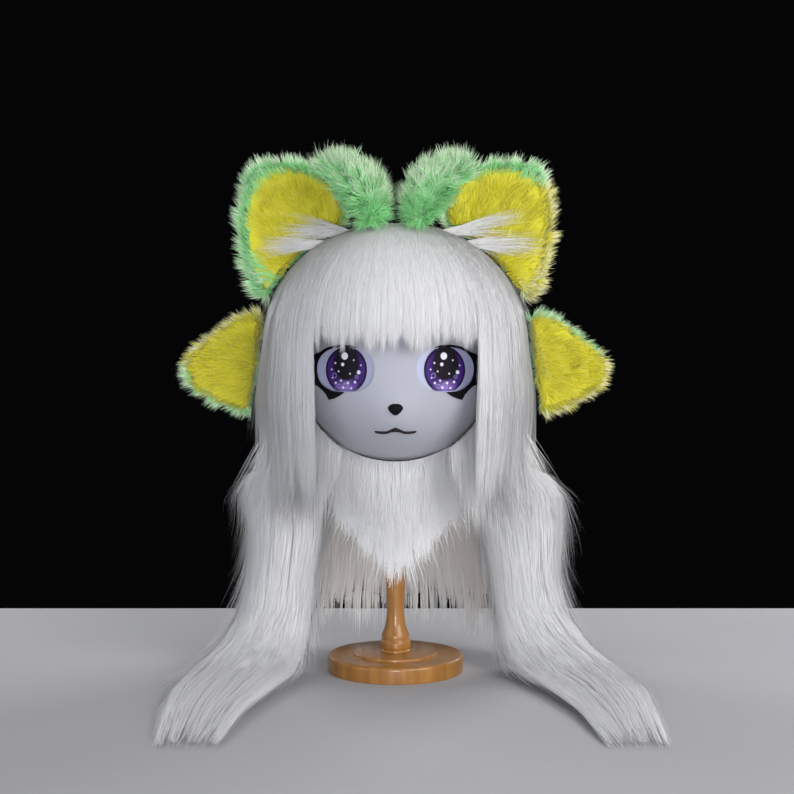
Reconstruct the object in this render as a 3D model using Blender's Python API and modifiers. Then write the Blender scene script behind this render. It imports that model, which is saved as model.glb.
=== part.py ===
"""Fursuit head with four ears and long white fur, resting on a turned wooden stand.

Metres, +Z up. The face looks along -Y and the origin is under the centre of
the stand's foot. Left and right are as seen from the front.
"""

import math

import bmesh
import bpy
from mathutils import Matrix, Vector

# Gaps and walls
GAP = 0.0003
SEAT_GAP = 0.0006
LINING_GAP = 0.0016
REST_CLEARANCE = 0.0010
EYE_SEAT = 0.0014
FOAM_WALL = 0.012
FACE_WALL = 0.003
EYE_WALL = 0.0015
TRIM_THICKNESS = 0.0014

# Stand
FOOT_DIAMETER = 0.160
FOOT_HEIGHT = 0.019
STEP_DIAMETER = 0.100
STEP_HEIGHT = 0.003
EDGE_ROUND = 0.003
COLLAR_DIAMETER = 0.036
COLLAR_HEIGHT = 0.014
WAIST_DIAMETER = 0.0198
WAIST_HEIGHT = 0.070
SHAFT_DIAMETER = 0.027
SHAFT_HEIGHT = 0.150
REST_DIAMETER = 0.080
REST_HEIGHT = 0.020

# Foam head base: centre, widest size, rise above the widest level, and neck opening
HEAD_CENTRE_Y = 0.010
HEAD_CENTRE_Z = 0.385
HEAD_WIDTH = 0.256
HEAD_DEPTH = 0.270
HEAD_RISE = 0.125
NECK_DROP = 0.123
NECK_LEVEL = HEAD_CENTRE_Z - NECK_DROP
NECK_SHARE = 0.80

# Face shell, set in the front of the head base
FACE_MARGIN = 0.0145
FACE_PROUD = 0.002
FACE_WIDTH = HEAD_WIDTH - 2 * FACE_MARGIN
FACE_HEIGHT = 0.211
FACE_CENTRE_Y = -0.006
FACE_DROP = 0.033
FACE_CENTRE_Z = HEAD_CENTRE_Z - FACE_DROP
FACE_BULGE = HEAD_DEPTH / 2 - HEAD_CENTRE_Y + FACE_CENTRE_Y + FACE_PROUD
FACE_BACK_Y = -0.020
MUZZLE_DROP = 0.052
MUZZLE_Z = FACE_CENTRE_Z - MUZZLE_DROP
MUZZLE_PROUD = 0.009
MUZZLE_HALF_WIDTH = 0.034
MUZZLE_HALF_HEIGHT = 0.028

# Eyes, nose, mouth and brow marks; the eyes keep their distance from the face's sides
EYE_MARGIN = 0.0575
EYE_X = FACE_WIDTH / 2 - EYE_MARGIN
EYE_LIFT = 0.0025
EYE_Z = FACE_CENTRE_Z + EYE_LIFT
EYE_WIDTH = 0.066
EYE_HEIGHT = 0.051
EYE_RECESS = 0.007
EYE_OVERLAP = 0.004
IRIS_INSET = 0.001
IRIS_X = EYE_X - IRIS_INSET
IRIS_WIDTH = 0.0465
IRIS_HEIGHT = 0.0515
IRIS_LIFT = 0.0006
IRIS_THICKNESS = 0.0008
LASH_WIDTH = 0.010
NOSE_DROP = 0.0407
NOSE_Z = FACE_CENTRE_Z - NOSE_DROP
NOSE_WIDTH = 0.0165
NOSE_HEIGHT = 0.0130
NOSE_PROUD = 0.0045
MOUTH_DROP = 0.0640
MOUTH_Z = FACE_CENTRE_Z - MOUTH_DROP
MOUTH_WIDTH = 0.0466
MOUTH_LINE = 0.0022
BROW_X = 0.0300
BROW_LIFT = 0.0370
BROW_Z = FACE_CENTRE_Z + BROW_LIFT
BROW_WIDTH = 0.0095
BROW_THICKNESS = 0.0008

# Hair over the head base; its ends are so far below the head's centre
HAIR_TOP = 0.024
HAIR_SIDE = 0.035
HAIR_FRONT = 0.023
HAIR_FLARE = 0.016
FLARE_DROP = 0.120
LOCK_GROOVE = 0.006
LOCK_POINT = 0.018
FRINGE_DROP = 0.004
FRINGE_END = HEAD_CENTRE_Z - FRINGE_DROP
SIDE_LOCK_DROP = 0.177
SIDE_LOCK_END = HEAD_CENTRE_Z - SIDE_LOCK_DROP
NAPE_DROP = 0.134
NAPE_END = HEAD_CENTRE_Z - NAPE_DROP
FACE_OPENING_ANGLE = 36.0
SIDE_LOCK_ANGLE = 79.0

# Neck fur, back hair and the two long falls
RUFF_WIDTH = 0.168
RUFF_DROP = 0.265
RUFF_END = HEAD_CENTRE_Z - RUFF_DROP
RUFF_THICKNESS = 0.028
RUFF_Y = -0.041
RUFF_BEND = 0.032
BACK_HAIR_END = 0.034
BACK_HAIR_THICKNESS = 0.024
BACK_HAIR_ANGLE = 123.0
BACK_HAIR_FLARE = 0.020
FALL_WIDTH = 0.100
FALL_THICKNESS = 0.092
FALL_REACH = 0.330
FALL_POINT = 0.050

# Ears and crest
UPPER_EAR_WIDTH = 0.136
UPPER_EAR_HEIGHT = 0.170
UPPER_EAR_X = 0.124
UPPER_EAR_LIFT = 0.142
UPPER_EAR_Z = HEAD_CENTRE_Z + UPPER_EAR_LIFT
LOWER_EAR_WIDTH = 0.112
LOWER_EAR_HEIGHT = 0.130
LOWER_EAR_X = 0.200
LOWER_EAR_DROP = 0.022
LOWER_EAR_Z = HEAD_CENTRE_Z - LOWER_EAR_DROP
EAR_BACK = 0.020
EAR_LINING = 0.011
EAR_CUP = 0.014
LINING_SHARE = 0.90
LINING_SEAT = 0.0011
TUFT_THICKNESS = 0.009
PUFF_LENGTH = 0.124
PUFF_WIDTH = 0.064
PUFF_DEPTH = 0.056
PUFF_BEND = 0.018
PUFF_X = 0.038
PUFF_Y = -0.050
PUFF_LIFT = 0.179
PUFF_Z = HEAD_CENTRE_Z + PUFF_LIFT
PUFF_LEAN = 37.0

# Share of the rows of the hair that every lock spends on the crown, and how thin the
# hair is beside the face
CROWN_SHARE = 0.625
PARTING_SHARE = 0.70

# Counts of lengthwise columns; an odd column is the groove between two locks
WIG_COLUMNS = 64
BACK_COLUMNS = 16
RUFF_COLUMNS = 12
FALL_COLUMNS = 8

# Outer edge of an upper ear: shares of its half width and half height from its centre
UPPER_EAR_OUTLINE = [
    # across, up
    (0.70, -1.04),
    (0.87, -0.66),
    (0.97, -0.26),
    (0.99, 0.15),
    (0.91, 0.50),
    (0.81, 0.77),
    (0.60, 0.91),
    (0.20, 0.94),
    (-0.30, 0.91),
    (-0.80, 0.74),
    (-1.05, 0.38),
    (-0.98, -0.10),
    (-0.40, -0.62),
    (0.25, -1.10),
]

# Outer edge of a lower ear
LOWER_EAR_OUTLINE = [
    # across, up
    (-0.57, 1.00),
    (0.00, 0.79),
    (0.38, 0.54),
    (0.84, 0.20),
    (0.98, -0.11),
    (0.86, -0.46),
    (0.46, -0.71),
    (0.05, -0.89),
    (-0.53, -1.00),
    (-1.00, -0.75),
    (-1.05, 0.05),
    (-0.95, 0.75),
]

# White hair that sweeps over the root of an upper ear, on the upper ear's sizes
TUFT_OUTLINE = [
    # across, up
    (-1.04, 0.00),
    (-0.66, 0.14),
    (-0.25, 0.17),
    (0.10, 0.12),
    (0.44, 0.03),
    (0.58, -0.10),
    (0.40, -0.26),
    (0.12, -0.44),
    (-0.12, -0.66),
    (-0.50, -0.62),
    (-0.90, -0.35),
]

# Nose: a rounded triangle with its point down
NOSE_OUTLINE = [
    # across, up
    (0.00, 0.90),
    (0.60, 0.95),
    (1.00, 0.50),
    (0.70, -0.20),
    (0.00, -1.00),
    (-0.70, -0.20),
    (-1.00, 0.50),
    (-0.60, 0.95),
]

# Eye opening: flatter below than above
EYE_OUTLINE = [
    # across, up
    (1.00, 0.05),
    (0.88, 0.58),
    (0.52, 0.92),
    (0.00, 1.00),
    (-0.52, 0.92),
    (-0.88, 0.58),
    (-1.00, 0.05),
    (-0.88, -0.55),
    (-0.50, -0.90),
    (0.00, -0.96),
    (0.50, -0.90),
    (0.88, -0.55),
]

# Lash band round the outer half of an eye, from the inner top to the inner bottom
LASH_BAND = [
    # place round the eye opening, band width
    (0.345, 0.02),
    (0.290, 0.30),
    (0.230, 0.42),
    (0.170, 0.40),
    (0.110, 0.40),
    (0.075, 0.80),
    (0.040, 0.26),
    (0.000, 0.22),
    (-0.045, 0.26),
    (-0.080, 0.80),
    (-0.110, 0.50),
    (-0.150, 1.00),
    (-0.200, 0.50),
    (-0.245, 0.02),
]

# Mouth line from its left end to its middle
MOUTH_PATH = [
    # across, drop below the middle, line width
    (-1.00, 0.17, 0.10),
    (-0.84, 0.19, 0.80),
    (-0.55, 0.15, 1.00),
    (-0.25, 0.07, 1.20),
    (0.00, 0.00, 1.90),
]

# Side locks beside the face, front to back, and how much of the full length each has
SIDE_LOCKS = [0.88, 1.00, 0.95, 0.86, 0.66]

# Lengths of the front neck fur from the middle outwards, a broad point below the chin
RUFF_LOCKS = [1.00, 0.97, 0.84, 0.80, 0.66, 0.62, 0.50]

# Locks of the back hair
BACK_LOCKS = [1.00, 0.93, 0.99, 0.90, 0.97, 0.92]

# A long fall from the neck opening to the floor and forwards along it. Along is the
# share of its own length. Across is the share of the hair's half width, forward of the
# fall's reach on the floor, up of the neck opening's height, wide and thick of the
# fall's width and thickness. Laid goes from 0 where it hangs to 1 where it lies flat.
FALL_LEFT = [
    # along, across, forward, up, wide, thick, laid
    (0.00, 0.660, -0.08, 1.040, 0.34, 0.80, 0.00),
    (0.07, 0.675, -0.08, 0.955, 0.36, 0.84, 0.00),
    (0.14, 0.825, -0.09, 0.870, 0.82, 1.00, 0.00),
    (0.21, 0.825, -0.09, 0.770, 1.00, 1.00, 0.00),
    (0.30, 0.799, -0.08, 0.620, 0.90, 0.90, 0.00),
    (0.40, 0.840, -0.06, 0.430, 0.82, 0.78, 0.00),
    (0.50, 0.876, -0.04, 0.240, 0.88, 0.70, 0.15),
    (0.60, 0.959, 0.05, 0.085, 1.04, 0.52, 0.60),
    (0.69, 1.062, 0.21, 0.035, 1.24, 0.28, 1.00),
    (0.79, 1.144, 0.42, 0.028, 1.10, 0.22, 1.00),
    (0.89, 1.196, 0.66, 0.022, 0.84, 0.17, 1.00),
    (1.00, 1.206, 1.00, 0.010, 0.60, 0.08, 1.00),
]
FALL_RIGHT = [
    # along, across, forward, up, wide, thick, laid
    (0.00, 0.660, -0.08, 1.040, 0.34, 0.80, 0.00),
    (0.07, 0.675, -0.08, 0.955, 0.36, 0.84, 0.00),
    (0.14, 0.855, -0.09, 0.870, 0.88, 1.00, 0.00),
    (0.21, 0.907, -0.09, 0.770, 1.06, 1.00, 0.00),
    (0.30, 0.928, -0.08, 0.620, 1.00, 0.90, 0.00),
    (0.40, 0.943, -0.06, 0.430, 0.84, 0.78, 0.00),
    (0.50, 0.989, -0.04, 0.240, 0.86, 0.70, 0.15),
    (0.60, 1.093, 0.05, 0.085, 1.04, 0.52, 0.60),
    (0.69, 1.227, 0.21, 0.035, 1.20, 0.28, 1.00),
    (0.79, 1.340, 0.42, 0.028, 1.06, 0.22, 1.00),
    (0.89, 1.391, 0.66, 0.022, 0.80, 0.17, 1.00),
    (1.00, 1.402, 1.00, 0.010, 0.58, 0.08, 1.00),
]

# Base colour, roughness
FINISHES = {
    "varnished_wood": ((0.430, 0.182, 0.048, 1.0), 0.32),
    "foam": ((0.72, 0.70, 0.66, 1.0), 0.95),
    "face_skin": ((0.70, 0.72, 0.80, 1.0), 0.72),
    "eye_white": ((0.52, 0.51, 0.68, 1.0), 0.35),
    "iris_print": ((0.10, 0.04, 0.28, 1.0), 0.22),
    "black_trim": ((0.006, 0.006, 0.008, 1.0), 0.45),
    "mouth_print": ((0.10, 0.045, 0.040, 1.0), 0.60),
    "brow_print": ((0.46, 0.47, 0.52, 1.0), 0.70),
    "white_fur": ((0.78, 0.79, 0.84, 1.0), 0.60),
    "green_fur": ((0.20, 0.62, 0.24, 1.0), 0.75),
    "yellow_fur": ((0.66, 0.52, 0.03, 1.0), 0.75),
}

LEFT = -1.0
RIGHT = 1.0
SIDES = {"left": LEFT, "right": RIGHT}

HEAD_CENTRE = Vector((0.0, HEAD_CENTRE_Y, HEAD_CENTRE_Z))
SKULL = Vector((HEAD_WIDTH / 2, HEAD_DEPTH / 2, HEAD_RISE))
FACE_CENTRE = Vector((0.0, FACE_CENTRE_Y, FACE_CENTRE_Z))
FACE = Vector((FACE_WIDTH / 2, FACE_BULGE, FACE_HEIGHT / 2))
HAIR_OUT = SKULL + Vector((HAIR_SIDE, HAIR_FRONT, HAIR_TOP))
HAIR_IN = SKULL + Vector((LINING_GAP, LINING_GAP, LINING_GAP))


def new_collection(name):
    collection = bpy.data.collections.new(name)
    bpy.context.scene.collection.children.link(collection)
    return collection


def finish(name):
    """The Principled material of one finish, made once."""
    if name in bpy.data.materials:
        return bpy.data.materials[name]
    colour, roughness = FINISHES[name]
    material = bpy.data.materials.new(name)
    material.use_nodes = True
    shader = material.node_tree.nodes["Principled BSDF"]
    shader.inputs["Base Color"].default_value = colour
    shader.inputs["Roughness"].default_value = roughness
    shader.inputs["Metallic"].default_value = 0.0
    material.diffuse_color = colour
    return material


def face_out(bm):
    """Turns every face outwards; a closed body is inside out if its volume is negative."""
    bmesh.ops.recalc_face_normals(bm, faces=bm.faces[:])
    closed = not any(edge.is_boundary for edge in bm.edges)
    if closed and bm.calc_volume(signed=True) < 0.0:
        bmesh.ops.reverse_faces(bm, faces=bm.faces[:])


def add_object(name, bm, material, smooth_angle=50.0):
    """Turns a bmesh into a named part with its finish."""
    face_out(bm)
    mesh = bpy.data.meshes.new(name)
    bm.to_mesh(mesh)
    bm.free()
    mesh.shade_smooth()
    mesh.set_sharp_from_angle(angle=math.radians(smooth_angle))
    obj = bpy.data.objects.new(name, mesh)
    obj.data.materials.append(finish(material))
    parts.objects.link(obj)
    return obj


def add_cutter(name, bm):
    face_out(bm)
    mesh = bpy.data.meshes.new(name)
    bm.to_mesh(mesh)
    bm.free()
    obj = bpy.data.objects.new(name, mesh)
    obj.hide_render = True
    obj.display_type = "WIRE"
    cutters.objects.link(obj)
    return obj


def cut(obj, cutter):
    modifier = obj.modifiers.new("cut_" + cutter.name, "BOOLEAN")
    modifier.operation = "DIFFERENCE"
    modifier.solver = "EXACT"
    modifier.object = cutter


def turned(name, profile, material, steps):
    """A profile of (radius, height) points, top to bottom, spun about the vertical axis."""
    bm = bmesh.new()
    points = [bm.verts.new((radius, 0.0, height)) for radius, height in profile]
    for above, below in zip(points, points[1:]):
        bm.edges.new((above, below))
    mesh = bpy.data.meshes.new(name)
    bm.to_mesh(mesh)
    bm.free()
    obj = bpy.data.objects.new(name, mesh)
    obj.data.materials.append(finish(material))
    parts.objects.link(obj)
    screw = obj.modifiers.new("turn", "SCREW")
    screw.axis = "Z"
    screw.angle = math.tau
    screw.steps = steps
    screw.render_steps = steps
    screw.use_merge_vertices = True
    screw.merge_threshold = 0.0001
    screw.use_smooth_shade = True
    return obj


def closed_curve(table, share):
    """A point of the smooth closed curve through a table's points, by share of the way round."""
    place = (share % 1.0) * len(table)
    first = math.floor(place)
    t = place - first
    a, b, c, d = (Vector(table[(first + step) % len(table)]) for step in (-1, 0, 1, 2))
    square = 2 * a - 5 * b + 4 * c - d
    cube = 3 * b - a - 3 * c + d
    return 0.5 * (2 * b + (c - a) * t + square * t**2 + cube * t**3)


def table_row(table, along):
    """A table's values at a place along it, in line between the rows above and below."""
    for above, below in zip(table, table[1:]):
        if along <= below[0]:
            break
    t = (along - above[0]) / (below[0] - above[0])
    return [a + (b - a) * t for a, b in zip(above[1:], below[1:])]


def smooth_step(low, high, value):
    t = min(max((value - low) / (high - low), 0.0), 1.0)
    return t * t * (3.0 - 2.0 * t)


def lock_value(locks, column):
    """A lock's share of the full length, by its column; the columns between are grooves."""
    return locks[min(round(column / 2), len(locks) - 1)]


def layered(bm, read, place):
    """Makes an open sheet a closed body: an outer and an inner layer, each put in its place."""
    copied = bmesh.ops.extrude_face_region(bm, geom=bm.faces[:], use_keep_orig=True)
    inner = {item for item in copied["geom"] if isinstance(item, bmesh.types.BMVert)}
    for vert in bm.verts:
        vert.co = place(*read(vert.co), 0.0 if vert in inner else 1.0)


def read_grid(co):
    return co.x + 0.5, co.y + 0.5


def panel(columns, rows):
    """A flat sheet whose coordinates run from 0 to 1 across and along."""
    bm = bmesh.new()
    bmesh.ops.create_grid(bm, x_segments=columns, y_segments=rows, size=0.5)
    return bm


def dome(columns, rows):
    """The upper half of a unit sphere, with its pole at the top."""
    bm = bmesh.new()
    bmesh.ops.create_uvsphere(bm, u_segments=columns, v_segments=2 * rows, radius=1.0)
    lower = [vert for vert in bm.verts if vert.co.z < -0.001]
    bmesh.ops.delete(bm, geom=lower, context="VERTS")
    return bm


def read_dome(co):
    """Turn from the front, in degrees and to either side, and share of the way down."""
    turn = math.degrees(math.atan2(co.x, -co.y))
    return turn, math.acos(min(max(co.z, -1.0), 1.0)) / (math.pi / 2)


# Stand


def make_stand():
    foot = FOOT_DIAMETER / 2
    step = STEP_DIAMETER / 2
    corner = EDGE_ROUND * (1.0 - math.sqrt(0.5))
    step_top = FOOT_HEIGHT + STEP_HEIGHT
    turned(
        "stand_base",
        [
            (0.0, step_top),
            (step - STEP_HEIGHT / 2, step_top),
            (step, step_top - STEP_HEIGHT / 2),
            (step, FOOT_HEIGHT),
            (foot - EDGE_ROUND, FOOT_HEIGHT),
            (foot - corner, FOOT_HEIGHT - corner),
            (foot, FOOT_HEIGHT - EDGE_ROUND),
            (foot, 0.0),
            (0.0, 0.0),
        ],
        "varnished_wood",
        40,
    )
    collar = COLLAR_DIAMETER / 2
    waist = WAIST_DIAMETER / 2
    shaft = SHAFT_DIAMETER / 2
    rest = REST_DIAMETER / 2
    bottom = step_top + GAP
    collar_top = bottom + COLLAR_HEIGHT
    bulb_top = collar_top + (WAIST_HEIGHT - collar_top) * 0.6
    flare_top = WAIST_HEIGHT + (SHAFT_HEIGHT - WAIST_HEIGHT) * 0.5
    top = HEAD_CENTRE_Z + HEAD_RISE - FOAM_WALL - REST_CLEARANCE
    turned(
        "stand_post",
        [
            (0.0, top),
            (rest * 0.45, top - REST_HEIGHT * 0.17),
            (rest * 0.80, top - REST_HEIGHT * 0.42),
            (rest, top - REST_HEIGHT * 0.90),
            (rest * 0.92, top - REST_HEIGHT),
            (shaft, top - REST_HEIGHT * 1.25),
            (shaft, SHAFT_HEIGHT),
            (waist + (shaft - waist) * 0.65, flare_top),
            (waist, WAIST_HEIGHT),
            (waist + (collar - waist) * 0.28, bulb_top),
            (waist + (collar - waist) * 0.82, collar_top + COLLAR_HEIGHT * 0.35),
            (collar * 0.90, collar_top),
            (collar, collar_top - COLLAR_HEIGHT * 0.2),
            (collar, bottom + COLLAR_HEIGHT * 0.35),
            (collar * 0.93, bottom + COLLAR_HEIGHT * 0.2),
            (collar, bottom + COLLAR_HEIGHT * 0.1),
            (collar, bottom),
            (0.0, bottom),
        ],
        "varnished_wood",
        16,
    )


# Head base


def skull_sheet(columns, rows, bottom, grow):
    """The foam base's outer surface down to a level, made larger all round by grow."""
    bm = bmesh.new()
    bmesh.ops.create_uvsphere(bm, u_segments=columns, v_segments=rows, radius=1.0)
    low = (HEAD_CENTRE_Z - NECK_LEVEL) / math.sqrt(1.0 - NECK_SHARE**2)
    for vert in bm.verts:
        rise = HEAD_RISE if vert.co.z > 0.0 else low
        vert.co.x *= SKULL.x + grow
        vert.co.y *= SKULL.y + grow
        vert.co.z *= rise + grow
        vert.co += HEAD_CENTRE
    bmesh.ops.bisect_plane(
        bm,
        geom=bm.verts[:] + bm.edges[:] + bm.faces[:],
        plane_co=(0.0, 0.0, bottom),
        plane_no=(0.0, 0.0, -1.0),
        clear_outer=True,
    )
    return bm


def make_head_base():
    bm = skull_sheet(24, 14, NECK_LEVEL, 0.0)
    skull = add_object("head_base", bm, "foam")
    shell = skull.modifiers.new("foam_wall", "SOLIDIFY")
    shell.thickness = FOAM_WALL
    shell.offset = -1.0
    cut(skull, face_space)
    cut(skull, face_way)


# Face shell


def face_front(x, z):
    """Y of the face's front surface."""
    across = x / FACE.x
    up = (z - FACE_CENTRE_Z) / FACE.z
    level = math.sqrt(max(0.0, 1.0 - across**2 - up**2))
    return FACE_CENTRE_Y - FACE.y * level - muzzle(x, z)


def face_depth(x, z, proud):
    """Y of a surface that stands proud of the face by a distance square to it."""
    step = FACE_WALL
    slope_x = (face_front(x + step, z) - face_front(x - step, z)) / (2 * step)
    slope_z = (face_front(x, z + step) - face_front(x, z - step)) / (2 * step)
    return face_front(x, z) - proud * math.sqrt(1.0 + slope_x**2 + slope_z**2)


def muzzle(x, z):
    across = x / MUZZLE_HALF_WIDTH
    up = (z - MUZZLE_Z) / MUZZLE_HALF_HEIGHT
    return MUZZLE_PROUD * math.exp(-(across**2) - up**2)


def face_sphere(columns, rows, grow):
    """The face's round form as a closed surface with its pole at the front."""
    bm = bmesh.new()
    turn = Matrix.Rotation(math.radians(90.0), 4, "X")
    bmesh.ops.create_uvsphere(bm, u_segments=columns, v_segments=rows, radius=1.0, matrix=turn)
    for vert in bm.verts:
        vert.co.x *= FACE.x + grow
        vert.co.y *= FACE.y + grow
        vert.co.z *= FACE.z + grow
        vert.co += FACE_CENTRE
    return bm


def outline_prism(name, table, half_width, half_height, centre_x, centre_z):
    """A cutter with an outline's shape, right through the face from front to back."""
    count = 3 * len(table)
    bm = bmesh.new()
    ring = []
    front_y = HEAD_CENTRE_Y - HEAD_DEPTH
    for step in range(count):
        across, up = closed_curve(table, step / count)
        x = centre_x + across * half_width
        z = centre_z + up * half_height
        ring.append(bm.verts.new((x, front_y, z)))
    face = bm.faces.new(ring)
    pushed = bmesh.ops.extrude_face_region(bm, geom=[face], use_keep_orig=True)
    for item in pushed["geom"]:
        if isinstance(item, bmesh.types.BMVert):
            item.co.y = FACE_BACK_Y
    return add_cutter(name, bm)


def make_face():
    bm = face_sphere(28, 16, 0.0)
    bmesh.ops.bisect_plane(
        bm,
        geom=bm.verts[:] + bm.edges[:] + bm.faces[:],
        plane_co=(0.0, FACE_BACK_Y, 0.0),
        plane_no=(0.0, 1.0, 0.0),
        clear_outer=True,
    )
    for vert in bm.verts:
        vert.co.y -= muzzle(vert.co.x, vert.co.z)
    mask = add_object("face_shell", bm, "face_skin")
    shell = mask.modifiers.new("face_wall", "SOLIDIFY")
    shell.thickness = FACE_WALL
    shell.offset = -1.0
    for side, sign in SIDES.items():
        opening = outline_prism(
            "eye_opening_" + side, EYE_OUTLINE, EYE_WIDTH / 2, EYE_HEIGHT / 2, sign * EYE_X, EYE_Z
        )
        cut(mask, opening)


def dish(name, outline, centre, half, depth_at, material, columns=16, rows=3):
    """A thin disc with an outline's shape; depth_at(x, z, share, layer) gives its two faces."""
    bm = dome(columns, rows)

    def place(turn, down, layer):
        across, up = closed_curve(outline, turn / 360.0)
        x = centre[0] + across * half[0] * down
        z = centre[1] + up * half[1] * down
        return Vector((x, depth_at(x, z, down, layer), z))

    layered(bm, read_dome, place)
    return add_object(name, bm, material)


def mirrored(outline, sign):
    return [(across * sign, up) for across, up in outline]


ROUND_TURNS = [step * math.tau / 12 for step in range(12)]
ROUND_OUTLINE = [(math.cos(turn), math.sin(turn)) for turn in ROUND_TURNS]
IRIS_OUTLINE = [(across, max(up, -0.90)) for across, up in ROUND_OUTLINE]


def eye_depth(x, z, share, layer):
    """The hollow dish behind an eye opening: deepest in its middle."""
    behind = FACE_WALL + EYE_SEAT + EYE_RECESS * (1.0 - share**2)
    return face_depth(x, z, -behind) + (1.0 - layer) * EYE_WALL


def make_eye(side, sign):
    half = (EYE_WIDTH / 2 + EYE_OVERLAP, EYE_HEIGHT / 2 + EYE_OVERLAP)
    outline = mirrored(EYE_OUTLINE, sign)
    dish("eye_" + side, outline, (sign * EYE_X, EYE_Z), half, eye_depth, "eye_white")

    def iris_depth(x, z, share, layer):
        across = (x - sign * EYE_X) / half[0]
        up = (z - EYE_Z) / half[1]
        return eye_depth(x, z, math.hypot(across, up), 1.0) - IRIS_LIFT - layer * IRIS_THICKNESS

    iris_half = (IRIS_WIDTH / 2, IRIS_HEIGHT / 2)
    centre = (sign * IRIS_X, EYE_Z)
    dish("iris_" + side, IRIS_OUTLINE, centre, iris_half, iris_depth, "iris_print")


def strip(name, edges, material):
    """A thin band on the face between two edges, each a list of (x, z) places."""
    bm = panel(1, len(edges[0]) - 1)

    def place(across, along, layer):
        x, z = edges[round(across)][round(along * (len(edges[0]) - 1))]
        return Vector((x, face_depth(x, z, GAP + layer * TRIM_THICKNESS), z))

    layered(bm, read_grid, place)
    return add_object(name, bm, material)


def make_lash(side, sign):
    half_width = EYE_WIDTH / 2
    half_height = EYE_HEIGHT / 2
    inner = []
    outer = []
    for place, width in LASH_BAND:
        across, up = closed_curve(EYE_OUTLINE, place)
        edge = Vector((across * half_width, up * half_height))
        away = edge.normalized()
        inner.append((sign * (EYE_X + edge.x), EYE_Z + edge.y))
        wide = edge + away * LASH_WIDTH * width
        outer.append((sign * (EYE_X + wide.x), EYE_Z + wide.y))
    strip("lash_" + side, (inner, outer), "black_trim")


def make_mouth():
    half = MOUTH_WIDTH / 2
    path = MOUTH_PATH + [(-across, drop, width) for across, drop, width in reversed(MOUTH_PATH[:-1])]
    upper = [(across * half, MOUTH_Z + (0.10 - drop) * half) for across, drop, width in path]
    lower = [(x, z - MOUTH_LINE * width) for (x, z), (across, drop, width) in zip(upper, path)]
    strip("mouth_line", (upper, lower), "mouth_print")


def make_face_trim():
    for side, sign in SIDES.items():
        make_eye(side, sign)
        make_lash(side, sign)
        dish(
            "brow_" + side,
            ROUND_OUTLINE,
            (sign * BROW_X, BROW_Z),
            (BROW_WIDTH / 2, BROW_WIDTH / 2),
            lambda x, z, share, layer: face_depth(x, z, GAP + layer * BROW_THICKNESS),
            "brow_print",
            8,
            1,
        )
    dish(
        "nose",
        NOSE_OUTLINE,
        (0.0, NOSE_Z),
        (NOSE_WIDTH / 2, NOSE_HEIGHT / 2),
        nose_depth,
        "black_trim",
        12,
        2,
    )
    make_mouth()


def nose_depth(x, z, share, layer):
    return face_depth(x, z, GAP + layer * NOSE_PROUD * (1.0 - 0.7 * share**3))


# Hair on the head


def hair_height(turn):
    """Level at which a lock ends, by its turn from the front in degrees."""
    step = 360.0 / WIG_COLUMNS
    column = round(abs(turn) / step)
    groove = column % 2
    face_edge = math.ceil(FACE_OPENING_ANGLE / step)
    side_edge = math.ceil(SIDE_LOCK_ANGLE / step)
    if column < face_edge:
        end = FRINGE_END + LOCK_POINT * 0.3 * groove
    elif column < side_edge:
        share = lock_value(SIDE_LOCKS, column - face_edge)
        end = HEAD_CENTRE_Z - (HEAD_CENTRE_Z - SIDE_LOCK_END) * share + LOCK_POINT * groove
    else:
        end = NAPE_END + LOCK_POINT * 0.8 * groove
    return end, groove


def over_head(turn, down, size, end):
    """A point over the crown in an arc of the given half sizes, then down to an end.

    Beside the head the hair spreads outwards as it drops.
    """
    arc = size.z * math.pi / 2
    shared = arc - LOCK_POINT
    way = shared * min(down / CROWN_SHARE, 1.0)
    way += (LOCK_POINT + HEAD_CENTRE_Z - end) * max(0.0, down - CROWN_SHARE) / (1.0 - CROWN_SHARE)
    angle = min(way / size.z, math.pi / 2)
    around = math.radians(turn)
    drop = max(0.0, way - arc)
    flare = HAIR_FLARE * smooth_step(0.0, FLARE_DROP, drop) * math.sin(around) ** 4
    x = (size.x * math.sin(angle) + flare) * math.sin(around)
    y = HEAD_CENTRE_Y - size.y * math.sin(angle) * math.cos(around)
    z = HEAD_CENTRE_Z + size.z * math.cos(angle) - drop
    return Vector((x, y, z))


def parting(turn):
    """How far the hair's inside is drawn out beside the face, so that it clears the eyes.

    The edge of the hair beside the face is upright and straight seen from the front.
    """
    if abs(turn) < 1.0:
        return 1.0
    edge = HAIR_OUT.x * math.sin(math.radians(FACE_OPENING_ANGLE))
    width = edge / abs(math.sin(math.radians(turn)))
    return min(max((width - HAIR_IN.x) / (HAIR_OUT.x - HAIR_IN.x), 0.0), 1.0)


def make_hair():
    bm = dome(WIG_COLUMNS, 8)

    def place(turn, down, layer):
        end, groove = hair_height(turn)
        taper = smooth_step(0.72, 1.0, down)
        inside = 0.40 * taper
        outside = 1.0 - 0.45 * taper
        drawn_out = PARTING_SHARE * parting(turn) * smooth_step(CROWN_SHARE, 0.75, down)
        inside += (outside - inside) * drawn_out
        reach = layer * outside + (1.0 - layer) * inside
        dent = layer * groove * LOCK_GROOVE * smooth_step(0.0, 0.35, down)
        size = HAIR_IN.lerp(HAIR_OUT, reach) - Vector((dent, dent, dent))
        return over_head(turn, down, size, end)

    layered(bm, read_dome, place)
    add_object("head_hair", bm, "white_fur", 80.0)


def hair_envelope():
    """The space the hair takes up with its ends left square, for what stands on it."""
    bm = dome(WIG_COLUMNS, 20)
    size = HAIR_OUT + Vector((SEAT_GAP, SEAT_GAP, SEAT_GAP))
    for vert in bm.verts:
        turn, down = read_dome(vert.co)
        vert.co = over_head(turn, down, size, SIDE_LOCK_END)
    rim = [edge for edge in bm.edges if edge.is_boundary]
    bmesh.ops.contextual_create(bm, geom=rim)
    return add_cutter("hair_space", bm)


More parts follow.
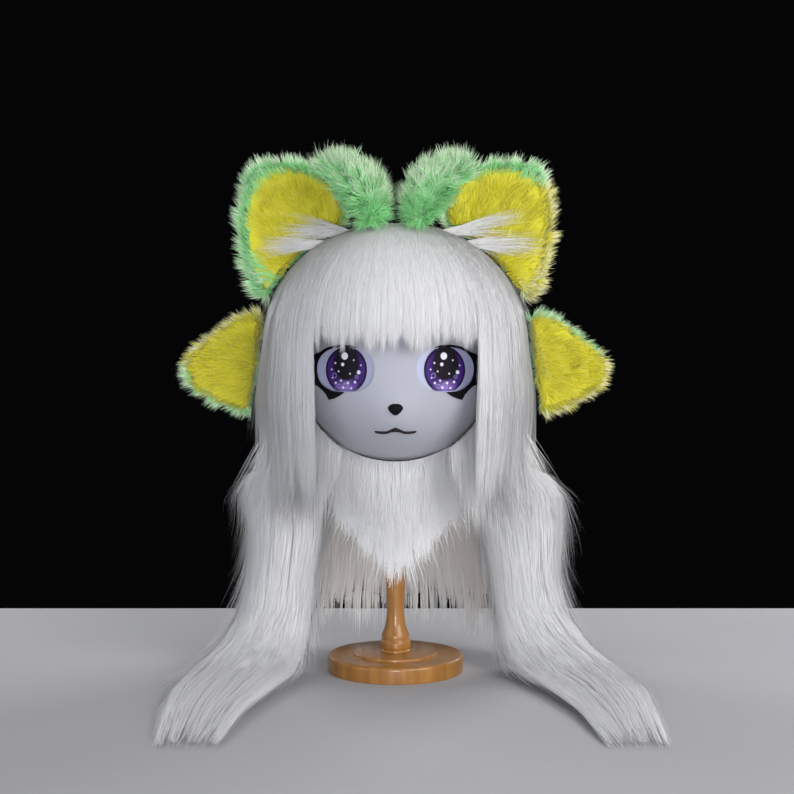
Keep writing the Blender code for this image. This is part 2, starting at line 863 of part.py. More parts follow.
# Neck fur, back hair and falls


def make_ruff():
    """The fur bib below the chin: locks that grow longer towards the middle."""
    bm = panel(RUFF_COLUMNS, 6)
    top = NECK_LEVEL + FOAM_WALL

    def place(across, down, layer):
        column = abs(round((across - 0.5) * RUFF_COLUMNS))
        groove = column % 2
        length = (top - RUFF_END) * RUFF_LOCKS[column] - LOCK_POINT * 0.8 * groove
        x = (across - 0.5) * RUFF_WIDTH * (1.0 - 0.15 * down)
        edge = (2.0 * across - 1.0) ** 2
        middle = RUFF_Y + RUFF_BEND * edge
        thin_out = 1.0 - 0.85 * smooth_step(0.35, 1.0, down)
        thickness = RUFF_THICKNESS * (1.0 - 0.35 * edge) * thin_out
        y = middle + thickness * (0.5 - layer) + layer * groove * LOCK_GROOVE * (1.0 - down)
        return Vector((x, y, top - length * down))

    layered(bm, read_grid, place)
    ruff = add_object("neck_fur", bm, "white_fur", 80.0)
    cut(ruff, face_space)
    cut(ruff, skull_space)


def make_back_hair():
    """The long hair behind, hung from the neck opening and clear of the falls."""
    bm = panel(BACK_COLUMNS, 6)
    top = NECK_LEVEL + FOAM_WALL
    half_turn = 180.0 - BACK_HAIR_ANGLE

    def place(across, down, layer):
        column = abs(round((across - 0.5) * BACK_COLUMNS))
        groove = column % 2
        share = BACK_LOCKS[(column // 2) % len(BACK_LOCKS)]
        length = (top - BACK_HAIR_END) * share - LOCK_POINT * groove
        around = math.radians(180.0 + (2.0 * across - 1.0) * half_turn)
        flare = BACK_HAIR_FLARE * smooth_step(0.16, 0.45, down)
        thickness = BACK_HAIR_THICKNESS * (1.0 - 0.80 * smooth_step(0.55, 1.0, down))
        outside = SKULL.y - LOCK_GROOVE * 0.5 + flare - layer * groove * LOCK_GROOVE * 0.6
        reach = outside - thickness * (1.0 - layer)
        x = -reach * SKULL.x / SKULL.y * math.sin(around)
        y = HEAD_CENTRE_Y - reach * math.cos(around)
        return Vector((x, y, top - length * down))

    layered(bm, read_grid, place)
    hair = add_object("back_hair", bm, "white_fur", 80.0)
    cut(hair, skull_space)


def make_fall(side, sign, table):
    """A long fall: hung from the neck opening, then laid forwards along the floor."""
    bm = panel(FALL_COLUMNS, 15)

    def place(across, along, layer):
        column = round(across * FALL_COLUMNS)
        groove = column % 2
        reach_share = along * (1.0 - groove * FALL_POINT / FALL_REACH * 0.5)
        out, forward, up, wide, thick, laid = table_row(table, reach_share)
        sideways = 2.0 * across - 1.0
        round_off = math.sqrt(max(0.0, 1.0 - 0.92 * sideways**2))
        half = thick * FALL_THICKNESS / 2 * round_off
        push = half * (2.0 * layer - 1.0) - layer * groove * LOCK_GROOVE * min(1.0, thick * 2.0)
        x = sign * (out * HAIR_OUT.x + sideways * wide * FALL_WIDTH / 2)
        turn = laid * math.pi / 2
        y = -forward * FALL_REACH - push * math.cos(turn)
        z = up * NECK_LEVEL + push * math.sin(turn)
        return Vector((x, y, max(z, 0.0)))

    layered(bm, read_grid, place)
    fall = add_object("long_fall_" + side, bm, "white_fur", 80.0)
    cut(fall, skull_space)


# Ears and crest


def ear_plane(x, z, centre, half):
    """Cups an ear: its edges come forward of its middle."""
    across = (x - centre[0]) / half[0]
    up = (z - centre[1]) / half[1]
    return -EAR_CUP * min(across**2 + up**2, 1.4)


def ear_layer(name, outline, centre, half, share, near, far, material, columns=20, jag=0.0):
    """A rounded layer of an ear between two depths, with its outline scaled by share."""
    bm = bmesh.new()
    turn = Matrix.Rotation(math.radians(90.0), 4, "X")
    bmesh.ops.create_uvsphere(bm, u_segments=columns, v_segments=6, radius=1.0, matrix=turn)
    for vert in bm.verts:
        around = math.atan2(vert.co.z, vert.co.x) / math.tau
        out = math.hypot(vert.co.x, vert.co.z)
        column = round(around * columns)
        across, up = closed_curve(outline, around)
        notch = jag * (column % 2) * out**3
        edge = share * out * (1.0 - notch)
        x = centre[0] + across * half[0] * edge
        z = centre[1] + up * half[1] * edge
        depth = near if vert.co.y < -0.001 else far
        y = depth * abs(vert.co.y) ** 0.8
        if vert.co.y < -0.001 and near > far:
            y = near
        vert.co = Vector((x, y + ear_plane(x, z, centre, half), z))
    return add_object(name, bm, material, 70.0)


def make_ear(prefix, side, sign, outline, centre, half, back_y):
    """An ear's green back, its yellow lining in front, and what the hair takes cut away."""
    shaped = mirrored(outline, sign)
    shell = ear_layer(prefix + "_" + side, shaped, centre, half, 1.0, 0.0, EAR_BACK, "green_fur")
    lining = ear_layer(
        prefix + "_lining_" + side, shaped, centre, half, LINING_SHARE, -EAR_LINING, 0.0, "yellow_fur"
    )
    shell.location.y = back_y
    lining.location.y = back_y - LINING_SEAT
    for piece in (shell, lining):
        cut(piece, hair_space)


def make_ears():
    upper_half = (UPPER_EAR_WIDTH / 2, UPPER_EAR_HEIGHT / 2)
    lower_half = (LOWER_EAR_WIDTH / 2, LOWER_EAR_HEIGHT / 2)
    for side, sign in SIDES.items():
        upper_centre = (sign * UPPER_EAR_X, UPPER_EAR_Z)
        lower_centre = (sign * LOWER_EAR_X, LOWER_EAR_Z)
        make_ear("upper_ear", side, sign, UPPER_EAR_OUTLINE, upper_centre, upper_half, HEAD_CENTRE_Y)
        make_ear("lower_ear", side, sign, LOWER_EAR_OUTLINE, lower_centre, lower_half, HEAD_CENTRE_Y)
        tuft = ear_layer(
            "ear_tuft_" + side,
            mirrored(TUFT_OUTLINE, sign),
            upper_centre,
            upper_half,
            1.0,
            -TUFT_THICKNESS,
            0.0,
            "white_fur",
            22,
            0.12,
        )
        tuft.location.y = HEAD_CENTRE_Y - EAR_LINING - 2 * LINING_SEAT
        cut(tuft, hair_space)


def make_crest():
    """Two green puffs on the crown: a round heart with a point of fur on every face."""
    for side, sign in SIDES.items():
        bm = bmesh.new()
        bmesh.ops.create_icosphere(bm, subdivisions=2, radius=0.86)
        poked = bmesh.ops.poke(bm, faces=bm.faces[:])
        for vert in poked["verts"]:
            vert.co = vert.co.normalized() * 1.02 + Vector((0.0, 0.0, 0.05))
        for vert in bm.verts:
            vert.co.x += sign * PUFF_BEND / (PUFF_WIDTH / 2) * vert.co.z**2
        lean = Matrix.Rotation(math.radians(sign * PUFF_LEAN), 4, "Y")
        size = Matrix.Diagonal((PUFF_WIDTH / 2, PUFF_DEPTH / 2, PUFF_LENGTH / 2, 1.0))
        seat = Matrix.Translation((sign * PUFF_X, PUFF_Y, PUFF_Z))
        bmesh.ops.transform(bm, matrix=seat @ lean @ size, verts=bm.verts[:])
        puff = add_object("crest_puff_" + side, bm, "green_fur", 30.0)
        cut(puff, hair_space)


for old in list(bpy.data.objects):
    bpy.data.objects.remove(old)

parts = new_collection("fursuit_head")
cutters = new_collection("cutters")

face_space = add_cutter("face_space", face_sphere(28, 16, SEAT_GAP))
face_way = outline_prism(
    "face_way",
    ROUND_OUTLINE,
    FACE.x + GAP,
    FACE.z + GAP,
    0.0,
    FACE_CENTRE_Z,
)
skull_solid = skull_sheet(24, 14, NECK_LEVEL - GAP, GAP)
neck_rim = [edge for edge in skull_solid.edges if edge.is_boundary]
bmesh.ops.contextual_create(skull_solid, geom=neck_rim)
skull_space = add_cutter("skull_space", skull_solid)
hair_space = hair_envelope()

make_stand()
make_head_base()
make_face()
make_face_trim()
make_hair()
make_ruff()
make_back_hair()
make_fall("left", LEFT, FALL_LEFT)
make_fall("right", RIGHT, FALL_RIGHT)
make_ears()
make_crest()
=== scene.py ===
# %% [markdown]
# # A costume head with long fur, on a turned wooden stand
#
# The object is a hollow head that a performer wears. A hard face with eye
# openings sits in a foam base, and fur of several lengths is sewn over it:
# smooth hair over the crown, plush on the ears, and two long falls that reach
# the floor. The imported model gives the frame, in metres, and this script
# builds the looks around it.

# %% Load the frame
import math

import bmesh
import bpy
import numpy as np
from mathutils import Matrix, Vector


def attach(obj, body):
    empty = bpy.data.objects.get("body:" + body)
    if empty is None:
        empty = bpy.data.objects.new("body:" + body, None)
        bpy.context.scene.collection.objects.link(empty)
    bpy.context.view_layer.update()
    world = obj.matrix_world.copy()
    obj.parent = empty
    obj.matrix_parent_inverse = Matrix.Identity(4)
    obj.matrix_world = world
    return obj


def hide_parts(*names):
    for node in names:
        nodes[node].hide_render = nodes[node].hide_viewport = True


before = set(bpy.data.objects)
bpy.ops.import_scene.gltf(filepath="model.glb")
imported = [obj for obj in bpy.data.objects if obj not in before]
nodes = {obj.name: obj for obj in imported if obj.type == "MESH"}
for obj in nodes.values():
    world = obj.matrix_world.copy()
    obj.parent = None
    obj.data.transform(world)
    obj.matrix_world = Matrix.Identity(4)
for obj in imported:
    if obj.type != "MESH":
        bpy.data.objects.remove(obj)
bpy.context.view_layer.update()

SIDES = (("left", -1.0), ("right", 1.0))

# %% [markdown]
# ## Camera
#
# The picture is taken from straight ahead, level with the eyes, from about
# a metre and a half. A tilted camera would frame it too, but its verticals
# would lean. So the camera is level, and a small lens shift moves the frame.

# %% Camera
PICTURE_WIDTH = 794  # pixels
camera_data = bpy.data.cameras.new("camera")
camera_data.sensor_width = 36.0
camera_data.lens = 61.3
camera_data.shift_x = 1.5 / PICTURE_WIDTH
camera_data.shift_y = -32.0 / PICTURE_WIDTH
camera = bpy.data.objects.new("camera", camera_data)
camera.location = (0.0, -1.6, 0.36)
camera.rotation_euler = (math.radians(90.0), 0.0, 0.0)
scene = bpy.context.scene
scene.collection.objects.link(camera)
scene.camera = camera
print("camera at", [round(x, 3) for x in camera.location], "lens", camera_data.lens, "mm")

# %% [markdown]
# ## Floor and light
#
# White fur shows its depth only against something darker, so the floor is
# plain and pale and what is behind it stays dark. Point or sun lamps would
# throw hard shadows from every hair, so all the lights are large soft areas.
# The key stands at the right, in front and above, and a fill at the left opens
# its shadows. A broad front light and a small low one reach under the fringe
# and the chin. One from the top and two from behind draw the bright rim that
# thin hair has.

# %% Lights
scene.view_settings.view_transform = "Standard"
WARM = (1.0, 0.985, 0.96)
COOL = (0.90, 0.94, 1.0)
NEUTRAL = (1.0, 1.0, 1.0)
AIM = (0.0, 0.0, 0.3)
LIGHTS = (
    # name, place, target, size in metres, power in watts, colour
    ("key", (1.4, -1.6, 1.0), AIM, 1.4, 34.0, WARM),
    ("fill", (-1.7, -1.3, 0.8), AIM, 1.6, 10.0, COOL),
    ("front", (0.2, -2.4, 0.7), AIM, 1.6, 6.6, NEUTRAL),
    ("low", (0.0, -1.6, 0.16), (0.0, 0.1, 0.16), 0.24, 7.6, NEUTRAL),
    ("top", (0.1, -0.3, 1.9), AIM, 1.2, 5.0, NEUTRAL),
    ("rim_right", (1.1, 1.1, 1.0), (0.0, 0.0, 0.4), 0.8, 15.0, NEUTRAL),
    ("rim_left", (-1.1, 1.1, 0.9), (0.0, 0.0, 0.4), 0.8, 12.0, NEUTRAL),
)


def soft_light(name, place, target, size, power, colour):
    """A square area light that looks at a target."""
    data = bpy.data.lights.new(name, "AREA")
    data.shape = "SQUARE"
    data.size = size
    data.energy = power
    data.color = colour
    light = bpy.data.objects.new(name, data)
    light.location = place
    aim = Vector(target) - Vector(place)
    light.rotation_euler = aim.to_track_quat("-Z", "Y").to_euler()
    scene.collection.objects.link(light)


for light in LIGHTS:
    soft_light(*light)

world = bpy.data.worlds.new("room")
world.use_nodes = True
background = world.node_tree.nodes["Background"]
background.inputs["Color"].default_value = (0.0016, 0.0016, 0.0020, 1.0)
background.inputs["Strength"].default_value = 1.0
scene.world = world
print(len(LIGHTS), "lights,", sum(light[4] for light in LIGHTS), "W in all")

# %% Floor
FLOOR_HALF = (1.3, 0.85, 1.0, 1.0)
FLOOR_MIDDLE = (0.0, -0.45, 0.0)
bm = bmesh.new()
bmesh.ops.create_grid(bm, x_segments=1, y_segments=1, size=1.0)
bmesh.ops.transform(bm, matrix=Matrix.Diagonal(FLOOR_HALF), verts=bm.verts[:])
bmesh.ops.translate(bm, vec=FLOOR_MIDDLE, verts=bm.verts[:])
floor_mesh = bpy.data.meshes.new("floor")
bm.to_mesh(floor_mesh)
bm.free()
floor = bpy.data.objects.new("floor", floor_mesh)
scene.collection.objects.link(floor)
print("floor", 2 * FLOOR_HALF[0], "by", 2 * FLOOR_HALF[1], "m")

# %% [markdown]
# ## How the finishes are written
#
# A material is a small program of nodes. They could be placed by hand in the
# editor, but written down they are easier to repeat. To keep the maths
# readable, one class wraps a node's output so that `-` and `*` add Math nodes,
# and another holds the node tree and adds every other kind of node through one
# method: the type, its settings, then the values or links of its sockets.

# %% Shader helpers


class Wire:
    """A node's output that Python's operators work on."""

    def __init__(self, finish, socket):
        self.finish = finish
        self.socket = socket

    def math(self, operation, first, second):
        return self.finish.node("ShaderNodeMath", {"operation": operation}, {0: first, 1: second})

    def __mul__(self, other):
        return self.math("MULTIPLY", self, other)

    def __sub__(self, other):
        return self.math("SUBTRACT", self, other)

    def __rsub__(self, other):
        return self.math("SUBTRACT", other, self)

    __rmul__ = __mul__


class Finish:
    """One material and its nodes."""

    def __init__(self, name, **constants):
        self.material = bpy.data.materials.new(name)
        self.material.use_nodes = True
        self.tree = self.material.node_tree
        self.shader = self.tree.nodes["Principled BSDF"]
        for socket, value in constants.items():
            self.shader.inputs[socket.replace("_", " ")].default_value = value

    def node(self, kind, settings=None, sockets=None, output=0):
        """Adds a node, sets its settings first, and gives the wanted output."""
        made = self.tree.nodes.new(kind)
        for key, value in (settings or {}).items():
            if key == "stops":
                self.set_stops(made.color_ramp.elements, value)
            else:
                setattr(made, key, value)
        for key, value in (sockets or {}).items():
            self.join(made.inputs[key], value)
        return Wire(self, made.outputs[output])

    def set_stops(self, elements, stops):
        while len(elements) < len(stops):
            elements.new(0.5)
        for element, (place, colour) in zip(elements, stops):
            element.position = place
            element.color = (*colour, 1.0)

    def join(self, socket, value):
        if isinstance(value, Wire):
            self.tree.links.new(value.socket, socket)
        elif isinstance(value, tuple) and len(value) == 3 and socket.type == "RGBA":
            socket.default_value = (*value, 1.0)
        else:
            socket.default_value = value

    def set(self, socket, value):
        self.join(self.shader.inputs[socket], value)

    def attribute(self, name):
        """A number that the mesh carries at each point."""
        return self.node("ShaderNodeAttribute", {"attribute_name": name}, output=2)

    def place(self, scale=(1.0, 1.0, 1.0)):
        """Object coordinates, stretched."""
        coords = self.node("ShaderNodeTexCoord", output=3)
        return self.node("ShaderNodeMapping", None, {"Vector": coords, "Scale": scale})

    def noise(self, vector, scale, detail=2.0):
        sockets = {"Vector": vector, "Scale": scale, "Detail": detail}
        return self.node("ShaderNodeTexNoise", None, sockets)

    def blend(self, share, first, second, kind="MIX"):
        """Mixes two colours: 0 gives the first and 1 the second."""
        settings = {"data_type": "RGBA", "blend_type": kind, "clamp_factor": True}
        return self.node("ShaderNodeMix", settings, {0: share, 6: first, 7: second}, output=2)

    def ramp(self, value, *stops):
        return self.node("ShaderNodeValToRGB", {"stops": stops}, {"Fac": value})

    def bump(self, height, strength, distance):
        sockets = {"Height": height, "Strength": strength, "Distance": distance}
        self.set("Normal", self.node("ShaderNodeBump", None, sockets))


# %% [markdown]
# ## Fur finishes
#
# Fur is painted darker in the depth of the pile, as shade, and paler at the tips,
# as light, and no two locks are quite the same. Blender has a hair shader, but
# it needs hair curves, which can't be exported as a plain model. So every hair
# carries three numbers in its mesh, and the finish reads them: *along* runs from
# 0 at the skin to 1 at the tip, *shade* is one random value for the whole hair
# and its lock, and *tint* is the share of a second dye.

# %% Fur finishes


def dyed_and_shaded(fur, shaded_deep, pile, lit_tip):
    """One dye along a hair: painted shade deep in the pile, the dye's own colour along it, and
    painted light at the tip.
    """
    along = fur.attribute("along")
    return fur.ramp(along, (0.0, shaded_deep), (0.40, pile), (0.78, pile), (1.0, lit_tip))


def fur_finish(name, dye, other_dye, rough, sheen, vary):
    """Fur with a second dye where the hairs' tint is 1."""
    fur = Finish(name, Roughness=rough, Sheen_Weight=sheen, Sheen_Roughness=0.45)
    fur.set("Specular IOR Level", 0.3)
    tint = fur.attribute("tint")
    # Each dye's ramp paints shade deep in the pile and light at the tip. Its colour at the depth is
    # painted shade, and random lock tones and streaks darken towards it.
    colour = fur.blend(tint, dyed_and_shaded(fur, *dye), dyed_and_shaded(fur, *other_dye))
    shaded_deep = fur.blend(tint, dye[0], other_dye[0])
    darker = fur.blend(fur.attribute("shade") * vary, colour, shaded_deep)
    streaks = fur.noise(fur.place((1.0, 1.0, 0.2)), 260.0)
    fur.set("Base Color", fur.blend(streaks * 0.20, darker, shaded_deep))
    fur.bump(streaks, 0.2, 0.002)
    return fur.material


# Each dye: painted shade deep in the pile, the dye's own colour along the hair, and painted light
# at the tip.
WHITE_DYE_AND_SHADING = ((0.60, 0.605, 0.64), (0.76, 0.765, 0.79), (0.84, 0.84, 0.85))
# The cream is the backing's beige, painted paler than the white fur as light through the thin back
# hair.
CREAM_DYE_AND_SHADING = ((0.92, 0.84, 0.77), (0.96, 0.91, 0.86), (0.97, 0.94, 0.91))
GREEN_DYE_AND_SHADING = ((0.20, 0.64, 0.24), (0.40, 0.89, 0.40), (0.90, 0.98, 0.80))
YELLOW_DYE_AND_SHADING = ((0.58, 0.53, 0.016), (0.79, 0.745, 0.034), (0.97, 0.96, 0.72))
white_fur = fur_finish("white_fur", WHITE_DYE_AND_SHADING, CREAM_DYE_AND_SHADING, 0.5, 0.35, 0.35)
green_fur = fur_finish("green_fur", GREEN_DYE_AND_SHADING, YELLOW_DYE_AND_SHADING, 0.6, 0.3, 0.45)
yellow_fur = fur_finish("yellow_fur", YELLOW_DYE_AND_SHADING, GREEN_DYE_AND_SHADING, 0.6, 0.3, 0.45)
print("furs:", [fur.name for fur in (white_fur, green_fur, yellow_fur)])

# %% [markdown]
# ## How hair is made
#
# Fur could be a particle system or hair curves, but neither is a mesh that
# another program can open. Here a hair is a narrow ribbon that tapers to a
# point. Thousands of them are worked out together as arrays and joined into one
# mesh, which keeps them light enough to render and to export. The ribbon's flat
# side faces away from the head, with a little random roll, so the coat takes
# light as real pile does.

# %% Small helpers for arrays


def unit(vectors):
    """The same directions with a length of 1."""
    length = np.linalg.norm(vectors, axis=-1, keepdims=True)
    return vectors / np.maximum(length, 1e-9)


def smooth(low, high, value):
    """0 below low and 1 above high, with a soft step between."""
    t = np.clip((value - low) / (high - low), 0.0, 1.0)
    return t * t * (3.0 - 2.0 * t)


def dice_for(name):
    """Random numbers that are the same on every run, and each piece's own."""
    return np.random.default_rng(list(name.encode()))


def shares(rings):
    """The shares of a hair's length at which its rings lie, as one row."""
    return np.linspace(0.0, 1.0, rings)[None]


# %% Ribbons of hair
TAPER = 1.7
FLOOR_GAP = 0.0003


def ribbon_points(paths, facing, width, roll):
    """Two edges for each hair and a single point at its tip."""
    rings = paths.shape[1]
    along = np.linspace(0.0, 1.0, rings)
    tangent = unit(np.gradient(paths, axis=1))
    across = unit(np.cross(tangent, facing))
    outward = np.cross(across, tangent)
    across = across * np.cos(roll) + outward * np.sin(roll)
    half = 0.5 * width[:, None, None] * (1.0 - along**TAPER)[None, :, None]
    edges = np.stack([paths - across * half, paths + across * half], axis=2)
    body = edges[:, :-1].reshape(len(paths), -1, 3)
    return np.concatenate([body, paths[:, -1:]], axis=1)


def ribbon_mesh(name, points, rings, shade, tint, painted_glow):
    """Joins the hairs' edges with quads and a triangle at each tip."""
    count, corners, _ = points.shape
    last = rings - 1
    quads = [[2 * j, 2 * j + 1, 2 * j + 3, 2 * j + 2] for j in range(last - 1)]
    pattern = np.array(sum(quads, []) + [2 * last - 2, 2 * last - 1, 2 * last])
    starts = np.arange(last) * 4
    loops = (pattern[None] + corners * np.arange(count)[:, None]).ravel()
    begins = (starts[None] + len(pattern) * np.arange(count)[:, None]).ravel()
    mesh = bpy.data.meshes.new(name)
    mesh.vertices.add(count * corners)
    mesh.vertices.foreach_set("co", points.astype(np.float32).ravel())
    mesh.loops.add(len(loops))
    mesh.loops.foreach_set("vertex_index", loops.astype(np.int32))
    mesh.polygons.add(len(begins))
    mesh.polygons.foreach_set("loop_start", begins.astype(np.int32))
    mesh.update(calc_edges=True)
    mesh.shade_smooth()
    along = np.append(np.repeat(np.arange(last), 2), last) / last
    # The painted glow carries the tip's painted light further down a hair.
    write_numbers(mesh, {
        "along": np.tile(along, count) * (1.0 + np.repeat(painted_glow, corners)),
        "shade": np.repeat(shade, corners),
        "tint": np.repeat(tint, corners),
    })
    return mesh


# %% Pieces of fur


def write_numbers(mesh, numbers):
    """Gives a mesh one number at each point for every title."""
    for title, values in numbers.items():
        layer = mesh.attributes.new(title, "FLOAT", "POINT")
        layer.data.foreach_set("value", values.astype(np.float32))


def add_piece(name, mesh, finish, replaced=()):
    """Puts a finished mesh in the scene as a piece of the object."""
    piece = bpy.data.objects.new(name, mesh)
    piece.data.materials.clear()
    piece.data.materials.append(finish)
    scene.collection.objects.link(piece)
    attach(piece, "root")
    if replaced:
        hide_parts(*replaced)
    print(name, len(mesh.polygons), "faces")
    return piece


def grow(
    name, paths, facing, width, shade, finish, replaced=(), roll=0.09, tint=None, painted_glow=None
):
    """A piece of fur from the hairs' paths and the directions their flat sides face.

    One direction for each hair does where a hair doesn't turn. Tint is the share of the second
    dye, and the painted glow brings the tip's painted light further down a hair.
    """
    count, rings, _ = paths.shape
    if facing.ndim == 2:
        facing = np.repeat(facing[:, None], rings, axis=1)
    tint = np.zeros(count) if tint is None else tint
    painted_glow = np.zeros(count) if painted_glow is None else painted_glow
    paths[..., 2] = np.maximum(paths[..., 2], 2 * FLOOR_GAP)
    turn = dice_for(name + "_roll").normal(0.0, roll, (count, 1, 1))
    points = ribbon_points(paths, facing, width, turn)
    points[..., 2] = np.maximum(points[..., 2], FLOOR_GAP)
    mesh = ribbon_mesh(name, points, rings, np.clip(shade, 0.0, 1.0), tint, painted_glow)
    print(name, count, "hairs,", count * (2 * rings - 3), "triangles")
    return add_piece(name, mesh, finish, replaced)


# %% [markdown]
# ## Undercoats
#
# Below the hairs there is a dense coat that the eye never sees through. Enough
# hairs would close it too, at several times the weight. Instead it is a copy of
# the CAD solid, merged, smoothed and drawn in a little, so the ribbons stand on
# the CAD model's own form. Some coats are also moulded, point by point, to stay
# under hair that ends early.

# %% Undercoat helper


def merged_copy(node):
    """A CAD solid's loose triangles, joined in a new bmesh."""
    bm = bmesh.new()
    bm.from_mesh(nodes[node].data)
    bmesh.ops.remove_doubles(bm, verts=bm.verts[:], dist=1e-5)
    bmesh.ops.recalc_face_normals(bm, faces=bm.faces[:])
    return bm


def undercoat(node, finish, sink, passes=2, mould=None, along=0.2, tint=0.0):
    """A copy of a CAD solid, smoothed and drawn in by sink, then moulded if asked."""
    bm = merged_copy(node)
    for _ in range(passes):
        bmesh.ops.smooth_vert(
            bm, verts=bm.verts[:], factor=0.4, use_axis_x=True, use_axis_y=True, use_axis_z=True
        )
    bm.normal_update()
    for vert in bm.verts:
        vert.co -= vert.normal * sink
        vert.co.z = max(vert.co.z, FLOOR_GAP + 0.0001)
        if mould is not None:
            mould(vert.co)
    mesh = bpy.data.meshes.new(node + "_undercoat")
    bm.to_mesh(mesh)
    bm.free()
    mesh.shade_smooth()
    count = len(mesh.vertices)
    # The coat's colour lies at along on a hair's ramp; the default, 0.2, is part-way into the
    # painted shade of the pile's depth.
    write_numbers(mesh, {"along": np.full(count, along), "tint": np.full(count, tint)})
    return add_piece(node + "_undercoat", mesh, finish, (node,))


# %% [markdown]
# ## Hair over the head
#
# The hair is one layer that runs from the middle of the crown over the foam and
# then straight down. It could be combed by hand with a brush, but then it would
# not follow the CAD's sizes. Here a place in it is a turn from the front, the
# way down from the crown in metres, and a reach from the lining to the outside.
# Hairs start evenly over the dome, gather a little into locks, and end in a
# fringe over the eyes, in long layered locks beside the face with a few loose
# wisps, and in a nape behind.

# %% The dome that the hair follows
HAIR_CENTRE = np.array((0.0, 0.010, 0.385))
HAIR_OUT = np.array((0.163, 0.158, 0.149))
HAIR_IN = np.array((0.1296, 0.1366, 0.1266))
HAIR_ARC = HAIR_OUT[2] * math.pi / 2
SIDE_FLARE = 0.010
FLARE_DROP = 0.07


def hair_dome(turn, way, reach):
    """Points and outward directions in the hair."""
    size = HAIR_IN + (HAIR_OUT - HAIR_IN) * reach[..., None]
    angle = np.minimum(way / HAIR_OUT[2], math.pi / 2)
    drop = np.maximum(way - HAIR_ARC, 0.0)
    around = np.stack(
        [np.sin(angle) * np.sin(turn), -np.sin(angle) * np.cos(turn), np.cos(angle)], axis=-1
    )
    points = HAIR_CENTRE + around * size
    points[..., 0] += SIDE_FLARE * smooth(0.0, FLARE_DROP, drop) * np.sin(turn) ** 5
    points[..., 2] -= drop
    return points, unit(around / size)


# %% How hair is combed from the crown
FRINGE_TURN = 36.0
SIDE_TURN = 84.0
LOCKS = 400
WISP_RISE = 0.085
GATHER = 0.38


def side_of_parting(path_turn, turns):
    """Keeps side hair behind the parting beside the fringe."""
    way_round = np.sign(turns[0] + turns[1])
    behind = way_round * np.maximum(np.abs(path_turn), math.radians(FRINGE_TURN))
    return np.where(path_turn * way_round > 0.0, behind, path_turn)


def comb_hair(
    name, turns, count, rings, ragged, lock=2.2, layers=0.0, spread=0.0, taper_share=0.30
):
    """Hairs from the crown down to the height that hair_end gives for their turn in degrees.

    Lock is a lock's width in degrees. Ragged is how unevenly hairs end, layers lets them end
    higher by up to so much, and spread lets loose wisps at the side stand out by so much.
    """
    dice = dice_for(name)
    turn = np.radians(dice.uniform(turns[0], turns[1], count))
    number = np.round(np.degrees(turn) / lock)
    lock_dice = dice_for(name + "_locks")
    offsets = lock_dice.normal(0.0, 0.25, LOCKS)
    shades = lock_dice.uniform(0.0, 1.0, LOCKS)
    lengths = lock_dice.uniform(-1.0, 1.0, LOCKS)
    index = (number + LOCKS // 2).astype(int) % LOCKS
    middle = np.radians((number + offsets[index]) * lock)
    apart = np.abs(turn - middle) / math.radians(lock)
    begin = HAIR_OUT[2] * np.arcsin(dice.uniform(0.02, 0.97, count))

    # where each hair ends
    height = hair_end(np.degrees(turn)) + ragged * (0.7 * lengths[index] + apart)
    outer = smooth(52.0, 72.0, np.abs(np.degrees(turn)))
    early = layers * (0.7 + 0.5 * outer) * dice.random(count) ** 1.6
    loose = (lock_dice.random(LOCKS)[index] < 0.30) * (dice.random(count) < 0.35)
    wisp = outer * loose * (spread > 0.0)
    height += np.abs(dice.normal(0.0, 1.3 * ragged, count)) + np.maximum(early, WISP_RISE * wisp)
    finish_way = HAIR_ARC + HAIR_CENTRE[2] - height

    # how it turns on its way down
    share = shares(rings)
    way = begin[:, None] + (finish_way - begin)[:, None] * share
    waves = way * dice.uniform(15, 40, count)[:, None] + dice.uniform(0, 6.3, count)[:, None]
    bend = np.radians(dice.normal(0.0, 0.7, count))[:, None] * share**2
    gather = GATHER * smooth(0.05, 0.30, way)
    wave = np.radians(0.3) * np.sin(waves)
    path_turn = turn[:, None] + (middle - turn)[:, None] * gather + wave + bend
    if spread:
        path_turn = side_of_parting(path_turn, turns)

    # how far out it lies
    depth = dice.uniform(0.74, 0.84, count) + 0.03 * (shades[index] - 0.5)
    taper = 1.0 - taper_share * smooth(0.72, 1.04, way / finish_way[:, None])
    root = 0.86 + 0.14 * smooth(0.0, 0.10, share)
    points, facing = hair_dome(path_turn, way, depth[:, None] * taper * root)
    out = spread * wisp * dice.uniform(0.3, 1.0, count)
    points[..., 0] += np.sin(turn)[:, None] * out[:, None] * share**3
    shade = 0.45 * shades[index] + 0.55 * dice.uniform(0.0, 1.0, count)
    width = dice.uniform(0.0005, 0.0011, count)
    return grow(name, points, facing, width, shade, white_fur, ("head_hair",))


# %% The hair's ends
FRINGE_END = 0.3725
HAIR_END = 0.200


def hair_end(turn):
    """The height at which hair ends, by its turn from the front in degrees."""
    turn = np.abs(turn)
    side = HAIR_END + 0.020 * smooth(58.0, SIDE_TURN, turn)
    return np.where(turn < FRINGE_TURN, FRINGE_END, np.where(turn < SIDE_TURN, side, HAIR_END))


# %% The coat under the hair
COAT_END = 0.262
COAT_FRINGE_TOP = 0.435
COAT_FRINGE_END = 0.407
EYES_HALF_WIDTH = 0.089
FACE_SIDE = 0.0985


